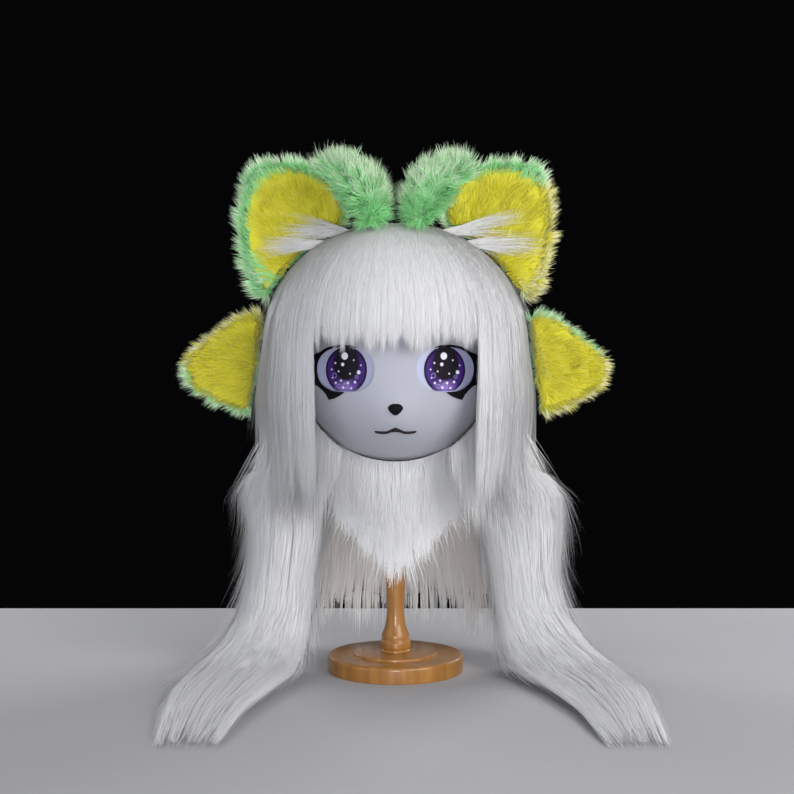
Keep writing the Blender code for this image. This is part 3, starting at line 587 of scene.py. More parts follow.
def clear_face(co):
    """Holds the coat under the hair above its ends, inside its flare and clear of the eyes."""
    co.z = max(co.z, COAT_END + 0.25 * (co.z - COAT_END))
    flare = 0.006 * float(smooth(0.0, 0.12, HAIR_CENTRE[2] - co.z))
    co.x -= math.copysign(flare * min(abs(co.x) / 0.165, 1.0) ** 5, co.x)
    co.y -= 0.006 * float(smooth(0.0, 0.08, co.y))
    if co.y > -0.030 or co.z > COAT_FRINGE_TOP:
        return
    across = abs(co.x)
    low = min((COAT_FRINGE_TOP - co.z) / 0.045, 1.0)
    if across < EYES_HALF_WIDTH:
        co.z = max(co.z, COAT_FRINGE_END - 0.12 * (COAT_FRINGE_END - co.z))
        co.y += 0.012 * low
        if across > EYES_HALF_WIDTH - 0.015:
            co.x *= 1.0 + 0.12 * low
    elif co.z < 0.390:
        co.x = math.copysign(max(across, FACE_SIDE), co.x)


undercoat("head_hair", white_fur, 0.0075, mould=clear_face)

# %% Crown, fringe, side locks and nape
for side, sign in SIDES:
    fringe = sorted((0.0, sign * FRINGE_TURN))
    beside = sorted((sign * FRINGE_TURN, sign * SIDE_TURN))
    comb_hair("fringe_hair_" + side, fringe, 4600, 7, 0.0125, taper_share=0.12)
    comb_hair("side_hair_" + side, beside, 6400, 8, 0.014, layers=0.105, spread=0.042)
behind = (SIDE_TURN, 360.0 - SIDE_TURN)
comb_hair("nape_hair", behind, 6600, 7, 0.018, lock=2.6, layers=0.050, taper_share=0.05)

# %% [markdown]
# ## Hair behind the jaw
#
# Short fur covers the foam between the face's lower edge and the neck. A solid
# strip would do, but its edge would show beside the chin, so hairs are set on
# the foam itself, just below the face, and hang straight down.

# %% The face's lower edge
FACE_CENTRE = Vector((0.0, -0.006, 0.352))
FACE = Vector((0.1135, 0.121, 0.1055))
SKULL = np.array((0.128, 0.135, 0.125))


def face_edge(x):
    """The height of the face's lower edge at a distance from the middle."""
    return FACE_CENTRE.z - FACE.z * np.sqrt(np.maximum(0.0, 1.0 - (x / FACE.x) ** 2))


# %% Jaw hair


def comb_jaw(name, sign, count, rings):
    """Short hair on the foam beside the face, which hides the foam's lower corner."""
    dice = dice_for(name)
    turn = np.radians(dice.uniform(34.0, 84.0, count))
    edge = face_edge(SKULL[0] * np.sin(turn))
    top = np.minimum(dice.uniform(0.262, 0.318, count), edge - 0.004)
    drop = dice.uniform(0.045, 0.115, count) * (0.30 + 0.70 * smooth(33.0, 48.0, np.degrees(turn)))
    share = shares(rings)
    level = np.maximum(top, HAIR_CENTRE[2] - 0.123)
    ring = np.sqrt(np.maximum(0.0, 1.0 - ((HAIR_CENTRE[2] - level) / 0.205) ** 2))[:, None]
    out = dice.uniform(0.002, 0.007, count)[:, None] + 0.004 * share
    points = np.stack([
        sign * (ring * SKULL[0] + out) * np.sin(turn)[:, None],
        HAIR_CENTRE[1] - (ring * SKULL[1] + out) * np.cos(turn)[:, None],
        top[:, None] - drop[:, None] * share,
    ], axis=-1)
    facing = np.stack([sign * np.sin(turn), -np.cos(turn), np.zeros(count)], axis=-1)
    width = dice.uniform(0.0006, 0.0012, count)
    return grow(name, points, facing, width, dice.random(count), white_fur)


for side, sign in SIDES:
    comb_jaw("jaw_hair_" + side, sign, 2200, 4)

# %% [markdown]
# ## Long falls
#
# The two falls are long-pile fur that hangs beside the stand and lies forward
# on the floor. A simulation could drop them there, but it would come out
# differently at each change. Their course is a short list of stations instead,
# as in the CAD. A hair starts somewhere along a fall, runs about a quarter of
# its length with it, and lifts a little off the surface towards its tip.

# %% Course of the falls
FALL_WIDTH = 0.100
FALL_THICKNESS = 0.092
FALL_REACH = 0.330
NECK_LEVEL = 0.262
FALL_COLUMNS = ("along", "across", "forward", "up", "wide", "thick", "laid")
FALL_LEFT = np.array([
    (0.00, 0.660, -0.08, 1.040, 0.34, 0.80, 0.00),
    (0.07, 0.675, -0.08, 0.955, 0.36, 0.84, 0.00),
    (0.14, 0.825, -0.09, 0.870, 0.82, 1.00, 0.00),
    (0.21, 0.825, -0.09, 0.770, 1.00, 1.00, 0.00),
    (0.30, 0.799, -0.08, 0.620, 0.90, 0.90, 0.00),
    (0.40, 0.840, -0.06, 0.430, 0.82, 0.78, 0.00),
    (0.50, 0.876, -0.04, 0.240, 0.88, 0.70, 0.15),
    (0.60, 0.959, 0.05, 0.085, 1.04, 0.52, 0.60),
    (0.69, 1.062, 0.21, 0.035, 1.24, 0.28, 1.00),
    (0.79, 1.144, 0.42, 0.028, 1.10, 0.22, 1.00),
    (0.89, 1.196, 0.66, 0.022, 0.84, 0.17, 1.00),
    (1.00, 1.206, 1.00, 0.010, 0.60, 0.08, 1.00),
])
FALL_RIGHT = FALL_LEFT.copy()
FALL_RIGHT[:, 1] = (
    0.660, 0.675, 0.855, 0.907, 0.928, 0.943, 0.989, 1.093, 1.227, 1.340, 1.391, 1.402,
)
FALL_RIGHT[:, 4] = (0.34, 0.36, 0.88, 1.06, 1.00, 0.84, 0.86, 1.04, 1.20, 1.06, 0.80, 0.58)


def fall_points(stations, sign, sideways, along, layer):
    """Points in a fall: sideways -1 to 1, along 0 to 1, layer -1 behind to 1 in front."""
    values = {
        title: np.interp(along, stations[:, 0], stations[:, column])
        for column, title in enumerate(FALL_COLUMNS)
    }
    round_off = np.sqrt(np.maximum(0.0, 1.0 - 0.92 * np.minimum(sideways**2, 1.0)))
    half = values["thick"] * FALL_THICKNESS / 2 * round_off
    push = half * layer
    laid = values["laid"] * math.pi / 2
    x = sign * (values["across"] * HAIR_OUT[0] + sideways * values["wide"] * FALL_WIDTH / 2)
    y = -values["forward"] * FALL_REACH - push * np.cos(laid)
    z = values["up"] * NECK_LEVEL + push * np.sin(laid)
    level = np.sign(layer) * round_off / (values["thick"] * FALL_THICKNESS)
    facing = np.stack([
        sign * sideways / (values["wide"] * FALL_WIDTH),
        -level * np.cos(laid),
        level * np.sin(laid),
    ], axis=-1)
    return np.stack([x, y, z], axis=-1), unit(facing)


# %% Hair along a fall
FALL_LOCKS = 700
FRONT_SHARE = 0.66
FRAY = 0.60


def comb_fall(name, node, stations, sign, count, rings):
    """Hairs that run along a fall and fray outwards at its upper edges."""
    dice = dice_for(name)
    sideways = np.sin(dice.uniform(-math.pi / 2, math.pi / 2, count))
    layer = np.where(dice.random(count) < FRONT_SHARE, 1.0, -1.0)
    begin = 1.0 - dice.uniform(0.0, 1.0, count) ** 0.8
    begin = 0.02 + 0.80 * begin
    span = dice.uniform(0.16, 0.34, count)
    lock = np.round(sideways * 6) + 40 * (np.round(begin * 7))
    lock_dice = dice_for(name + "_locks")
    index = (lock + 200).astype(int) % FALL_LOCKS
    drift = lock_dice.normal(0.0, 0.10, FALL_LOCKS)[index] + dice.normal(0.0, 0.06, count)
    at_edge = np.sign(sideways) * smooth(0.45, 1.0, np.abs(sideways))
    near_top = 1.0 - 0.8 * smooth(0.35, 0.60, begin)
    drift += at_edge * FRAY * dice.random(count) ** 3 * near_top
    shades = lock_dice.uniform(0.0, 1.0, FALL_LOCKS)[index]
    share = shares(rings)
    end = 1.02 - 0.05 * dice.random(count)[:, None]
    along = np.minimum(begin[:, None] + span[:, None] * share, end)
    path_side = 0.94 * sideways[:, None] + drift[:, None] * share**1.5
    lift = dice.uniform(0.80, 0.98, count)[:, None]
    lift = lift + 0.08 * smooth(0.2, 1.0, share) * dice.random(count)[:, None]
    root = 0.80 + 0.20 * smooth(0.0, 0.25, share)
    layer = layer[:, None] * lift * root
    points, facing = fall_points(stations, sign, path_side * 0.98, along, layer)
    shade = 0.45 * shades + 0.55 * dice.uniform(0.0, 1.0, count)
    width = dice.uniform(0.0005, 0.0012, count)
    return grow(name, points, facing, width, shade, white_fur, (node,))


# %% Falls
for (side, sign), stations in zip(SIDES, (FALL_LEFT, FALL_RIGHT)):
    node = "long_fall_" + side
    undercoat(node, white_fur, 0.003)
    comb_fall("long_fall_hair_" + side, node, stations, sign, 7600, 7)

# %% [markdown]
# ## Hair over the falls' upper ends
#
# Where the side hair ends, loose hair from the head's edge sweeps down over the
# falls and stands out beside them. It has no solid of its own, because it is
# thin enough to see through. Sixty locks are drawn first, and each hair follows
# the direction of its lock.

# %% Shoulder hair
SHOULDER_LOCKS = 60


def comb_shoulder(name, sign, reach, count, rings):
    """Hair that leaves the head above a fall and sweeps down and outwards over it."""
    dice = dice_for(name)
    lock = dice.integers(0, SHOULDER_LOCKS, count)
    lock_dice = dice_for(name + "_locks")
    lock_out = lock_dice.uniform(0.0, 1.0, SHOULDER_LOCKS)[lock]
    start = np.stack([
        dice.uniform(0.100, 0.148, count),
        -0.050 + 0.110 * lock_dice.random(SHOULDER_LOCKS)[lock] + dice.normal(0.0, 0.006, count),
        dice.uniform(0.245, 0.300, count),
    ], axis=-1)
    share = shares(rings)
    length = dice.uniform(0.060, 0.105, count)
    out = (0.008 + reach * lock_out**1.5) * dice.uniform(0.7, 1.0, count)
    x = start[:, :1] + out[:, None] * share**1.2
    y = start[:, 1:2] + dice.normal(0.0, 0.004, count)[:, None] * share
    z = start[:, 2:] - length[:, None] * (share - 0.12 * np.sin(math.pi * share))
    points = np.stack([sign * x, y, z], axis=-1)
    facing = unit(np.tile((0.7 * sign, -0.6, 0.3), (count, 1)))
    shade = 0.4 * lock_dice.random(SHOULDER_LOCKS)[lock] + 0.5 * dice.random(count)
    width = dice.uniform(0.0005, 0.0010, count)
    return grow(name, points, facing, width, shade, white_fur)


for side, sign, reach in (("left", -1.0, 0.050), ("right", 1.0, 0.056)):
    comb_shoulder("shoulder_hair_" + side, sign, reach, 2000, 7)

# %% [markdown]
# ## Bib and back hair
#
# Under the chin a broad pointed bib covers the neck. Behind the stand the long
# back hair hangs like a curtain; its inside is the backing and the undyed root
# of the pile, so it looks beige from the front, and its cream is painted paler
# than the white fur as light through the thin curtain. Both follow the CAD's own
# formulas for their solids, so the hairs' tips end where the solids do. One
# hair in ten of the bib is loose, is longer and leaves its lock.

# %% The bib's form
BIB_TOP = 0.274
BIB_WIDTH = 0.168
BIB_END = 0.120
BIB_LENGTHS = (1.00, 0.97, 0.84, 0.80, 0.66, 0.62, 0.50)


def bib_points(across, down, layer):
    """Points in the bib: across -1 to 1, down in metres, layer -1 behind to 1 in front."""
    shape = np.interp(np.abs(across), np.linspace(0.0, 1.0, len(BIB_LENGTHS)), BIB_LENGTHS)
    length = (BIB_TOP - BIB_END) * shape
    share = np.clip(down / length, 0.0, 1.1)
    edge = across**2
    middle = -0.041 + 0.032 * edge
    thickness = 0.028 * (1.0 - 0.35 * edge) * (1.0 - 0.85 * smooth(0.35, 1.0, share))
    x = across * BIB_WIDTH / 2 * (1.0 - 0.15 * share)
    y = middle - layer * thickness / 2
    return np.stack([x, y, BIB_TOP - down], axis=-1), length


def below_chin(x, y):
    """The height under which neck fur leaves the face's lower edge free."""
    return face_edge(x) - 0.001 - 0.07 * np.minimum(y, 0.0)


def clear_chin(co):
    """Holds the bib's coat below the face's lower edge."""
    co.z = min(co.z, float(below_chin(co.x, co.y)) - 0.001)


# %% Neck fur
BIB_LOCKS = 500
FRONT_PART = 0.75
LOOSE_PART = 0.10
LOOSE_LONGER = 0.022


def comb_bib(name, count, rings):
    """Overlapping hairs down the bib, with a lock for every ninth of its half width."""
    dice = dice_for(name)
    across = dice.uniform(-1.0, 1.0, count)
    _, length = bib_points(across, np.zeros(count), np.zeros(count))
    layer = np.where(dice.random(count) < FRONT_PART, 1.0, -1.0)
    begin = length * dice.uniform(0.0, 0.85, count)
    roots, _ = bib_points(across, begin, layer)
    begin = np.maximum(begin, BIB_TOP - below_chin(roots[:, 0], roots[:, 1]))
    reach = dice.uniform(0.030, 0.062, count)
    lock_dice = dice_for(name + "_locks")
    index = ((np.round(across * 9) + 20) * 10 + np.round(begin * 90)).astype(int) % BIB_LOCKS
    drift = lock_dice.normal(0.0, 0.05, BIB_LOCKS)[index] + dice.normal(0.0, 0.05, count)
    share = shares(rings)
    loose = dice.random(count) < LOOSE_PART
    limit = (length + dice.normal(0.005, 0.010, count) + LOOSE_LONGER * loose)[:, None]
    drift = np.where(loose, drift + 0.22 * np.sign(across), drift)
    down = np.minimum(begin[:, None] + reach[:, None] * share, limit + 0.004 * share)
    path = across[:, None] * (1.0 + 0.05 * share) + drift[:, None] * share
    lift = layer[:, None] * (dice.uniform(0.8, 1.05, count)[:, None] + 0.20 * share)
    points, _ = bib_points(path, down, lift * (0.75 + 0.25 * smooth(0.0, 0.3, share)))
    facing = unit(np.stack([across * 0.5, -layer, np.full(count, 0.25)], axis=-1))
    shade = 0.45 * lock_dice.uniform(0.0, 1.0, BIB_LOCKS)[index] + 0.55 * dice.random(count)
    width = dice.uniform(0.0005, 0.0012, count)
    return grow(name, points, facing, width, shade, white_fur, ("neck_fur",))


undercoat("neck_fur", white_fur, 0.003, mould=clear_chin)
comb_bib("neck_hair", 5600, 6)

# %% Back hair
BACK_END = 0.034
BACK_TURN = 57.0
BACK_LENGTHS = (0.92, 0.97, 0.90, 0.99, 0.93, 1.00, 0.90, 0.99, 0.93)
BACK_LOCKS = 500
BACK_COLUMNS = 11


def comb_back(name, count, rings, inside):
    """The curtain of hair behind the stand; inside is 1 for the side that faces forwards."""
    dice = dice_for(name)
    across = dice.uniform(-1.0, 1.0, count)
    shape = np.interp(across, np.linspace(-1.0, 1.0, len(BACK_LENGTHS)), BACK_LENGTHS)
    lock_dice = dice_for(name + "_locks")
    column = np.round(across * BACK_COLUMNS)
    index = ((column + 20) * 10).astype(int) % BACK_LOCKS
    locks = (BIB_TOP - BACK_END) * shape + lock_dice.normal(-0.006, 0.012, BACK_LOCKS)[index]
    begin = locks * 0.75 * dice.random(count) ** 1.3
    reach = dice.uniform(0.07, 0.15, count)
    share = shares(rings)
    limit = (locks + dice.normal(0.014, 0.014, count))[:, None]
    down = np.minimum(begin[:, None] + reach[:, None] * share, limit)
    part = np.clip(down / (BIB_TOP - BACK_END), 0.0, 1.1)
    middle = column / BACK_COLUMNS + lock_dice.normal(0.0, 0.03, BACK_LOCKS)[index]
    path = across[:, None] + (middle - across)[:, None] * 0.20 * smooth(0.4, 1.0, part)
    around = math.pi + path * math.radians(BACK_TURN)
    flare = 0.020 * smooth(0.16, 0.45, part)
    thickness = 0.024 * (1.0 - 0.80 * smooth(0.55, 1.0, part))
    depth = dice.uniform(0.0, 0.25, count)[:, None]
    distance = SKULL[1] - 0.003 + flare - thickness * (1.0 - depth if inside else depth)
    x = -distance * SKULL[0] / SKULL[1] * np.sin(around)
    y = HAIR_CENTRE[1] - distance * np.cos(around)
    points = np.stack([x, y, BIB_TOP - down], axis=-1)
    facing = np.stack([-np.sin(around), -np.cos(around), np.zeros_like(around)], axis=-1)
    if inside:
        facing = -facing
    shade = 0.5 * lock_dice.uniform(0.0, 1.0, BACK_LOCKS)[index] + 0.5 * dice.random(count)
    width = dice.uniform(0.0007, 0.0014, count)
    cream = (0.75 if inside else 0.10) * dice.uniform(0.4, 1.0, count)
    return grow(
        name, points, facing, width, shade, white_fur, ("back_hair",), tint=cream
    )


def slim_top(co):
    """Holds the coat behind under its own hair where the nape ends over it."""
    shrink = 1.0 - 0.026 * float(smooth(0.15, 0.21, co.z))
    co.x *= shrink
    co.y = HAIR_CENTRE[1] + (co.y - HAIR_CENTRE[1]) * shrink


undercoat("back_hair", white_fur, 0.0012, mould=slim_top, along=0.5, tint=0.5)
comb_back("back_hair_inside", 3000, 7, True)
comb_back("back_hair_outside", 3000, 7, False)

# %% [markdown]
# ## Ears and crest
#
# The ears are foam covered with short plush: green behind and round the rim,
# yellow in front, with tips painted paler, as light, where the pile stands free.
# The crest puffs are longer pile that stands out all round, with tips painted
# paler towards the top, as light from above. Blender could scatter instances of
# one hair, but instances are not plain meshes, and each hair leans its own way.
# So places are drawn at random on the CAD solid, by area, and each hair there
# leans outwards from the ear's root.

# %% Scattered fur


def scatter(node, count, dice):
    """Even random places on a CAD solid with the surface's direction at each."""
    bm = merged_copy(node)
    bmesh.ops.triangulate(bm, faces=bm.faces[:])
    bm.normal_update()
    corners = np.array([[list(v.co) for v in f.verts] for f in bm.faces])
    normals = np.array([[list(v.normal) for v in f.verts] for f in bm.faces])
    bm.free()
    sides = corners[:, 1:] - corners[:, :1]
    area = np.linalg.norm(np.cross(sides[:, 0], sides[:, 1]), axis=1)
    chosen = dice.choice(len(area), count, p=area / area.sum())
    first, second = dice.random(count), dice.random(count)
    flip = first + second > 1.0
    first, second = np.where(flip, 1.0 - first, first), np.where(flip, 1.0 - second, second)
    weights = np.stack([1.0 - first - second, first, second], axis=1)[..., None]
    return (corners[chosen] * weights).sum(1), unit((normals[chosen] * weights).sum(1))


# %% Plush
TUFT_KINDS = 997


def plush(
    name, node, root, count, length, lay, finish, rings=3, wide=(0.0008, 0.0016), keep=None,
    tuft=0.012, sink=0.006, pull=0.0, ruffle=0.25, tint=None, painted_glow=None,
):
    """Fur that leans away from a root point: lay 0 stands up, 1 lies flat.

    Keep picks the places to use. Tuft is the size of a tuft, and ruffle how far tufts differ.
    Sink sets the roots below the surface, and pull moves them back towards the root point.
    """
    dice = dice_for(name)
    places, normals = scatter(node, count, dice)
    if keep is not None:
        chosen = keep(places, normals)
        places, normals = places[chosen], normals[chosen]
    count = len(places)
    away = unit(places - np.array(root))
    away = unit(away - normals * (away * normals).sum(1, keepdims=True))
    cell = np.round(places / tuft).astype(int)
    index = (cell[:, 0] * 73 + cell[:, 1] * 19 + cell[:, 2] * 37) % TUFT_KINDS
    tuft_dice = dice_for(name + "_tufts")
    swirl = tuft_dice.normal(0.0, ruffle, (TUFT_KINDS, 3))[index]
    swirl = swirl + dice.normal(0.0, 0.16, (count, 3))
    heading = unit(away * lay + normals * (1.0 - lay) + swirl)
    reach = dice.uniform(length[0], length[1], count)[:, None, None]
    share = shares(rings)[..., None]
    droop = unit(away + swirl * 0.5)[:, None] * share**2 * 0.35
    roots = places - normals * sink - away * pull
    paths = roots[:, None] + reach * (heading[:, None] * share + droop)
    shade = 0.4 * tuft_dice.random(TUFT_KINDS)[index] + 0.6 * dice.random(count)
    width = dice.uniform(wide[0], wide[1], count)
    dye = None if tint is None else tint(places, normals)
    # Painted light: the tips are drawn paler where the pile stands free.
    tip_glow = None if painted_glow is None else painted_glow(places, normals)
    return grow(name, paths, normals, width, shade, finish, (node,), 0.4, dye, tip_glow)


# %% Dyes on the ears
EAR_YELLOW_EDGE = {
    # where a green ear's front edge is dyed yellow: a direction from the ear's middle
    "upper_ear_left": (0.0, 0.0),
    "upper_ear_right": (1.0, -0.9),
    "lower_ear_left": (-0.3, 1.0),
    "lower_ear_right": (0.5, -1.0),
}
EAR_MIDDLE = {"upper_ear": (0.124, 0.527), "lower_ear": (0.200, 0.363)}
LINING_HALF = (0.068, 0.085)


def edge_dye(node, middle):
    """The share of yellow for hairs on an ear's front edge."""
    across, up = EAR_YELLOW_EDGE[node]

    def tint(places, normals):
        side = (places[:, 0] - middle[0]) * across + (places[:, 2] - middle[1]) * up
        front = smooth(0.55, 0.15, normals[:, 1])
        return smooth(0.004, 0.020, side) * front

    return tint


def rim_painted_light(places, normals):
    """Painted light: paler tips on the thin rim of an ear, where the pile stands free."""
    return 2.2 * smooth(0.50, 0.92, np.hypot(normals[:, 0], normals[:, 2]))


def lining_edge(x, z):
    """Where a place on an upper lining is: across outwards and up, in half sizes."""
    across, up = EAR_MIDDLE["upper_ear"]
    return (np.abs(x) - across) / LINING_HALF[0], (z - up) / LINING_HALF[1]


def lining_dye(places, normals):
    """The share of green: a band along the top, and on the left ear down the outer edge too."""
    across, up = lining_edge(places[:, 0], places[:, 2])
    outer = np.where(places[:, 0] < 0.0, across, -1.0)
    edge = smooth(0.48, 0.66, across**2 + up**2)
    return edge * np.maximum(smooth(-0.10, 0.25, outer), smooth(0.50, 0.66, up))


def lining_painted_light(places, normals):
    """Painted light: paler tips where a lining's pile hangs over the rim."""
    across, up = lining_edge(places[:, 0], places[:, 2])
    return 0.8 * smooth(0.80, 1.00, np.hypot(across, up)) * smooth(0.0, 0.4, across)


# %% Ears
EARS = (
    # name, root from the middle outwards, hairs, their lengths, the lining's dye and painted light
    # on its tips
    ("upper_ear", (0.075, 0.010, 0.455), 12500, (0.010, 0.017), lining_dye, lining_painted_light),
    ("lower_ear", (0.130, 0.010, 0.365), 8500, (0.010, 0.016), None, None),
)
LINING_LENGTHS = (0.008, 0.013)


def in_front(places, normals):
    """Leaves the side of a lining that lies on its ear without hairs."""
    return normals[:, 1] < 0.4


for side, sign in SIDES:
    for part, (out, back, up), count, lengths, dye, tip_glow in EARS:
        root = (sign * out, back, up)
        node = part + "_" + side
        middle = (sign * EAR_MIDDLE[part][0], EAR_MIDDLE[part][1])
        padded = undercoat(node, green_fur, 0.0075, 1)
        plush(
            node + "_fur", node, root, count, lengths, 0.42, green_fur,
            wide=(0.0006, 0.0013), sink=0.009, pull=0.007, tint=edge_dye(node, middle),
            painted_glow=rim_painted_light,
        )
        lining = part + "_lining_" + side
        undercoat(lining, yellow_fur, 0.0045, 1)
        plush(
            lining + "_fur", lining, root, count // 2, LINING_LENGTHS, 0.62, yellow_fur,
            keep=in_front, sink=0.0045, pull=0.006, ruffle=0.15, tint=dye, painted_glow=tip_glow,
        )

# %% [markdown]
# ## Tufts over the ears
#
# A few thin strands from the crown's edge sweep outwards over each upper ear's
# lining. As ribbons they would be too few to need an undercoat, so they are
# single fine hairs in seven loose strands that follow the ear's cup.

# %% White tufts
TUFT_LENGTHS = {"left": 0.088, "right": 0.105}
CUP_DEPTH = 0.014


def comb_tuft(side, sign, count, rings):
    """Fine hair that sweeps outwards from the crown's edge over an ear's lining."""
    name = "ear_tuft_hair_" + side
    dice = dice_for(name)
    place = dice.random(count)
    place = np.where(place < 0.5, 0.7 * place, 0.30 + 0.7 * place)
    turn = np.radians(19.0 + 17.0 * place)
    start_x = 0.150 * np.sin(turn)
    start_z = HAIR_CENTRE[2] + 0.138 * np.cos(turn)
    group = np.round(place * 6).astype(int)
    lift = 0.36 - 0.22 * group / 6 + dice_for(name + "_locks").normal(0.0, 0.07, 7)[group]
    lift += dice.normal(0.0, 0.06, count)
    length = TUFT_LENGTHS[side] * dice.uniform(0.35, 1.0, count)
    share = shares(rings)
    out = start_x[:, None] + length[:, None] * share
    up = start_z[:, None] + (length * lift)[:, None] * share - 0.012 * share**2
    across, high = lining_edge(out, up)
    cup = -CUP_DEPTH * np.minimum(across**2 + high**2, 1.4)
    bow = np.sin(math.pi * np.minimum(share + 0.15, 1.0))
    depth = -0.0035 - 0.009 * dice.random(count)[:, None] * bow
    points = np.stack([sign * out, cup + depth, up], axis=-1)
    facing = np.tile((0.0, -1.0, 0.0), (count, 1))
    width = dice.uniform(0.0003, 0.0007, count)
    cream = 0.3 * dice.random(count)
    shade = dice.random(count)
    node = "ear_tuft_" + side
    return grow(name, points, facing, width, shade, white_fur, (node,), tint=cream)


for side, sign in SIDES:
    comb_tuft(side, sign, 320, 6)

# %% Crest


def top_painted_light(places, normals):
    """Painted light from above: paler tips towards the top of a puff."""
    return 1.1 * smooth(-0.4, 0.8, normals[:, 2])


for side, sign in SIDES:
    node = "crest_puff_" + side
    root = (sign * 0.030, -0.020, 0.480)
    padded = undercoat(node, green_fur, 0.011, 3)
    plush(
        node + "_fur", node, root, 8000, (0.012, 0.022), 0.32, green_fur, 4,
        (0.0006, 0.0014), tuft=0.009, sink=0.012, pull=0.005, ruffle=0.40, painted_glow=top_painted_light,
    )

# %% [markdown]
# ## Face
#
# The face is a thin hard shell with a soft matt skin. The CAD shell is coarse,
# and smoothing it would round the eye openings' edges. So the same form is made
# again from a finer sphere and the same formula for the muzzle, given its wall,
# and the eye openings are cut through it.

# %% The face's surface
FACE_WALL = 0.003
FACE_BACK_Y = -0.020
MUZZLE_Z = 0.300
SLOPE_STEP = 0.003


def muzzle(x, z):
    """How far the muzzle stands out from the rounded face."""
    return 0.009 * math.exp(-((x / 0.034) ** 2) - ((z - MUZZLE_Z) / 0.028) ** 2)


def face_front(x, z):
    """Y of the face's front surface."""
    level = 1.0 - (x / FACE.x) ** 2 - ((z - FACE_CENTRE.z) / FACE.z) ** 2
    return FACE_CENTRE.y - FACE.y * math.sqrt(max(0.0, level)) - muzzle(x, z)


def face_depth(x, z, proud):
    """Y of a surface that stands proud of the face by a distance square to it."""
    step = SLOPE_STEP
    slope_x = (face_front(x + step, z) - face_front(x - step, z)) / (2 * step)
    slope_z = (face_front(x, z + step) - face_front(x, z - step)) / (2 * step)
    return face_front(x, z) - proud * math.sqrt(1.0 + slope_x**2 + slope_z**2)


# %% Curves and meshes


def closed_curve(outline, share):
    """A point of the smooth closed curve through an outline, by share of the way round."""
    place = (share % 1.0) * len(outline)
    first = math.floor(place)
    t = place - first
    a, b, c, d = (Vector(outline[(first + step) % len(outline)]) for step in (-1, 0, 1, 2))
    square = 2 * a - 5 * b + 4 * c - d
    cube = 3 * b - a - 3 * c + d
    return 0.5 * (2 * b + (c - a) * t + square * t**2 + cube * t**3)


def face_forward(bm):
    """Turns an open sheet's faces to the front."""
    bmesh.ops.recalc_face_normals(bm, faces=bm.faces[:])
    if sum(face.normal.y for face in bm.faces) > 0.0:
        bmesh.ops.reverse_faces(bm, faces=bm.faces[:])


def mesh_of(name, bm, angle=None):
    """Ends a bmesh: normals out, smooth shading, and sharp edges from an angle in degrees on."""
    bmesh.ops.recalc_face_normals(bm, faces=bm.faces[:])
    if bm.calc_volume(signed=True) < 0.0:
        bmesh.ops.reverse_faces(bm, faces=bm.faces[:])
    mesh = bpy.data.meshes.new(name)
    bm.to_mesh(mesh)
    bm.free()
    mesh.shade_smooth()
    if angle is not None:
        mesh.set_sharp_from_angle(angle=math.radians(angle))
    return mesh


# %% Eye outlines
EYE_X = 0.0560
EYE_Z = 0.3545
EYE_HALF = Vector((0.033, 0.0255))
EYE_OUTLINE = [
    (1.00, 0.05), (0.88, 0.58), (0.52, 0.92), (0.00, 1.00), (-0.52, 0.92), (-0.88, 0.58),
    (-1.00, 0.05), (-0.88, -0.55), (-0.50, -0.90), (0.00, -0.96), (0.50, -0.90), (0.88, -0.55),
]

# %% Face shell
CUTTER_STEPS = 72
CUTTER_FRONT = -0.2


def eye_cutter(sign):
    """A prism with the eye opening's outline."""
    bm = bmesh.new()
    ring = []
    for step in range(CUTTER_STEPS):
        across, up = closed_curve(EYE_OUTLINE, step / CUTTER_STEPS)
        place = (sign * EYE_X + across * EYE_HALF.x, CUTTER_FRONT, EYE_Z + up * EYE_HALF.y)
        ring.append(bm.verts.new(place))
    pushed = bmesh.ops.extrude_face_region(bm, geom=[bm.faces.new(ring)], use_keep_orig=True)
    far = [item for item in pushed["geom"] if isinstance(item, bmesh.types.BMVert)]
    bmesh.ops.translate(bm, vec=(0.0, 0.18, 0.0), verts=far)
    cutter = bpy.data.objects.new("eye_cutter", mesh_of("eye_cutter", bm))
    scene.collection.objects.link(cutter)
    return cutter


def face_sheet():
    """The face's outer surface as a mesh: half a sphere, sized, with the muzzle pushed out."""
    bm = bmesh.new()
    turn = Matrix.Rotation(math.radians(90.0), 4, "X")
    bmesh.ops.create_uvsphere(bm, u_segments=96, v_segments=64, radius=1.0, matrix=turn)
    bmesh.ops.transform(bm, matrix=Matrix.Diagonal((*FACE, 1.0)), verts=bm.verts[:])
    bmesh.ops.translate(bm, vec=FACE_CENTRE, verts=bm.verts[:])
    bmesh.ops.bisect_plane(
        bm, geom=bm.verts[:] + bm.edges[:] + bm.faces[:], plane_co=(0.0, FACE_BACK_Y, 0.0),
        plane_no=(0.0, 1.0, 0.0), clear_outer=True,
    )
    for vert in bm.verts:
        vert.co.y -= muzzle(vert.co.x, vert.co.z)
    face_forward(bm)
    mesh = bpy.data.meshes.new("face")
    bm.to_mesh(mesh)
    bm.free()
    return mesh


def make_face_shell():
    """The face with its wall and its two eye openings."""
    shell = bpy.data.objects.new("face", face_sheet())
    scene.collection.objects.link(shell)
    wall = shell.modifiers.new("wall", "SOLIDIFY")
    wall.thickness = FACE_WALL
    wall.offset = -1.0
    cutters = [eye_cutter(sign) for sign in (-1.0, 1.0)]
    for cutter in cutters:
        hole = shell.modifiers.new("opening", "BOOLEAN")
        hole.operation = "DIFFERENCE"
        hole.solver = "EXACT"
        hole.object = cutter
    bpy.context.view_layer.update()
    evaluated = shell.evaluated_get(bpy.context.evaluated_depsgraph_get())
    done = bpy.data.meshes.new_from_object(evaluated)
    for scratch in (shell, *cutters):
        bpy.data.objects.remove(scratch)
    done.shade_smooth()
    done.set_sharp_from_angle(angle=math.radians(40.0))
    return done


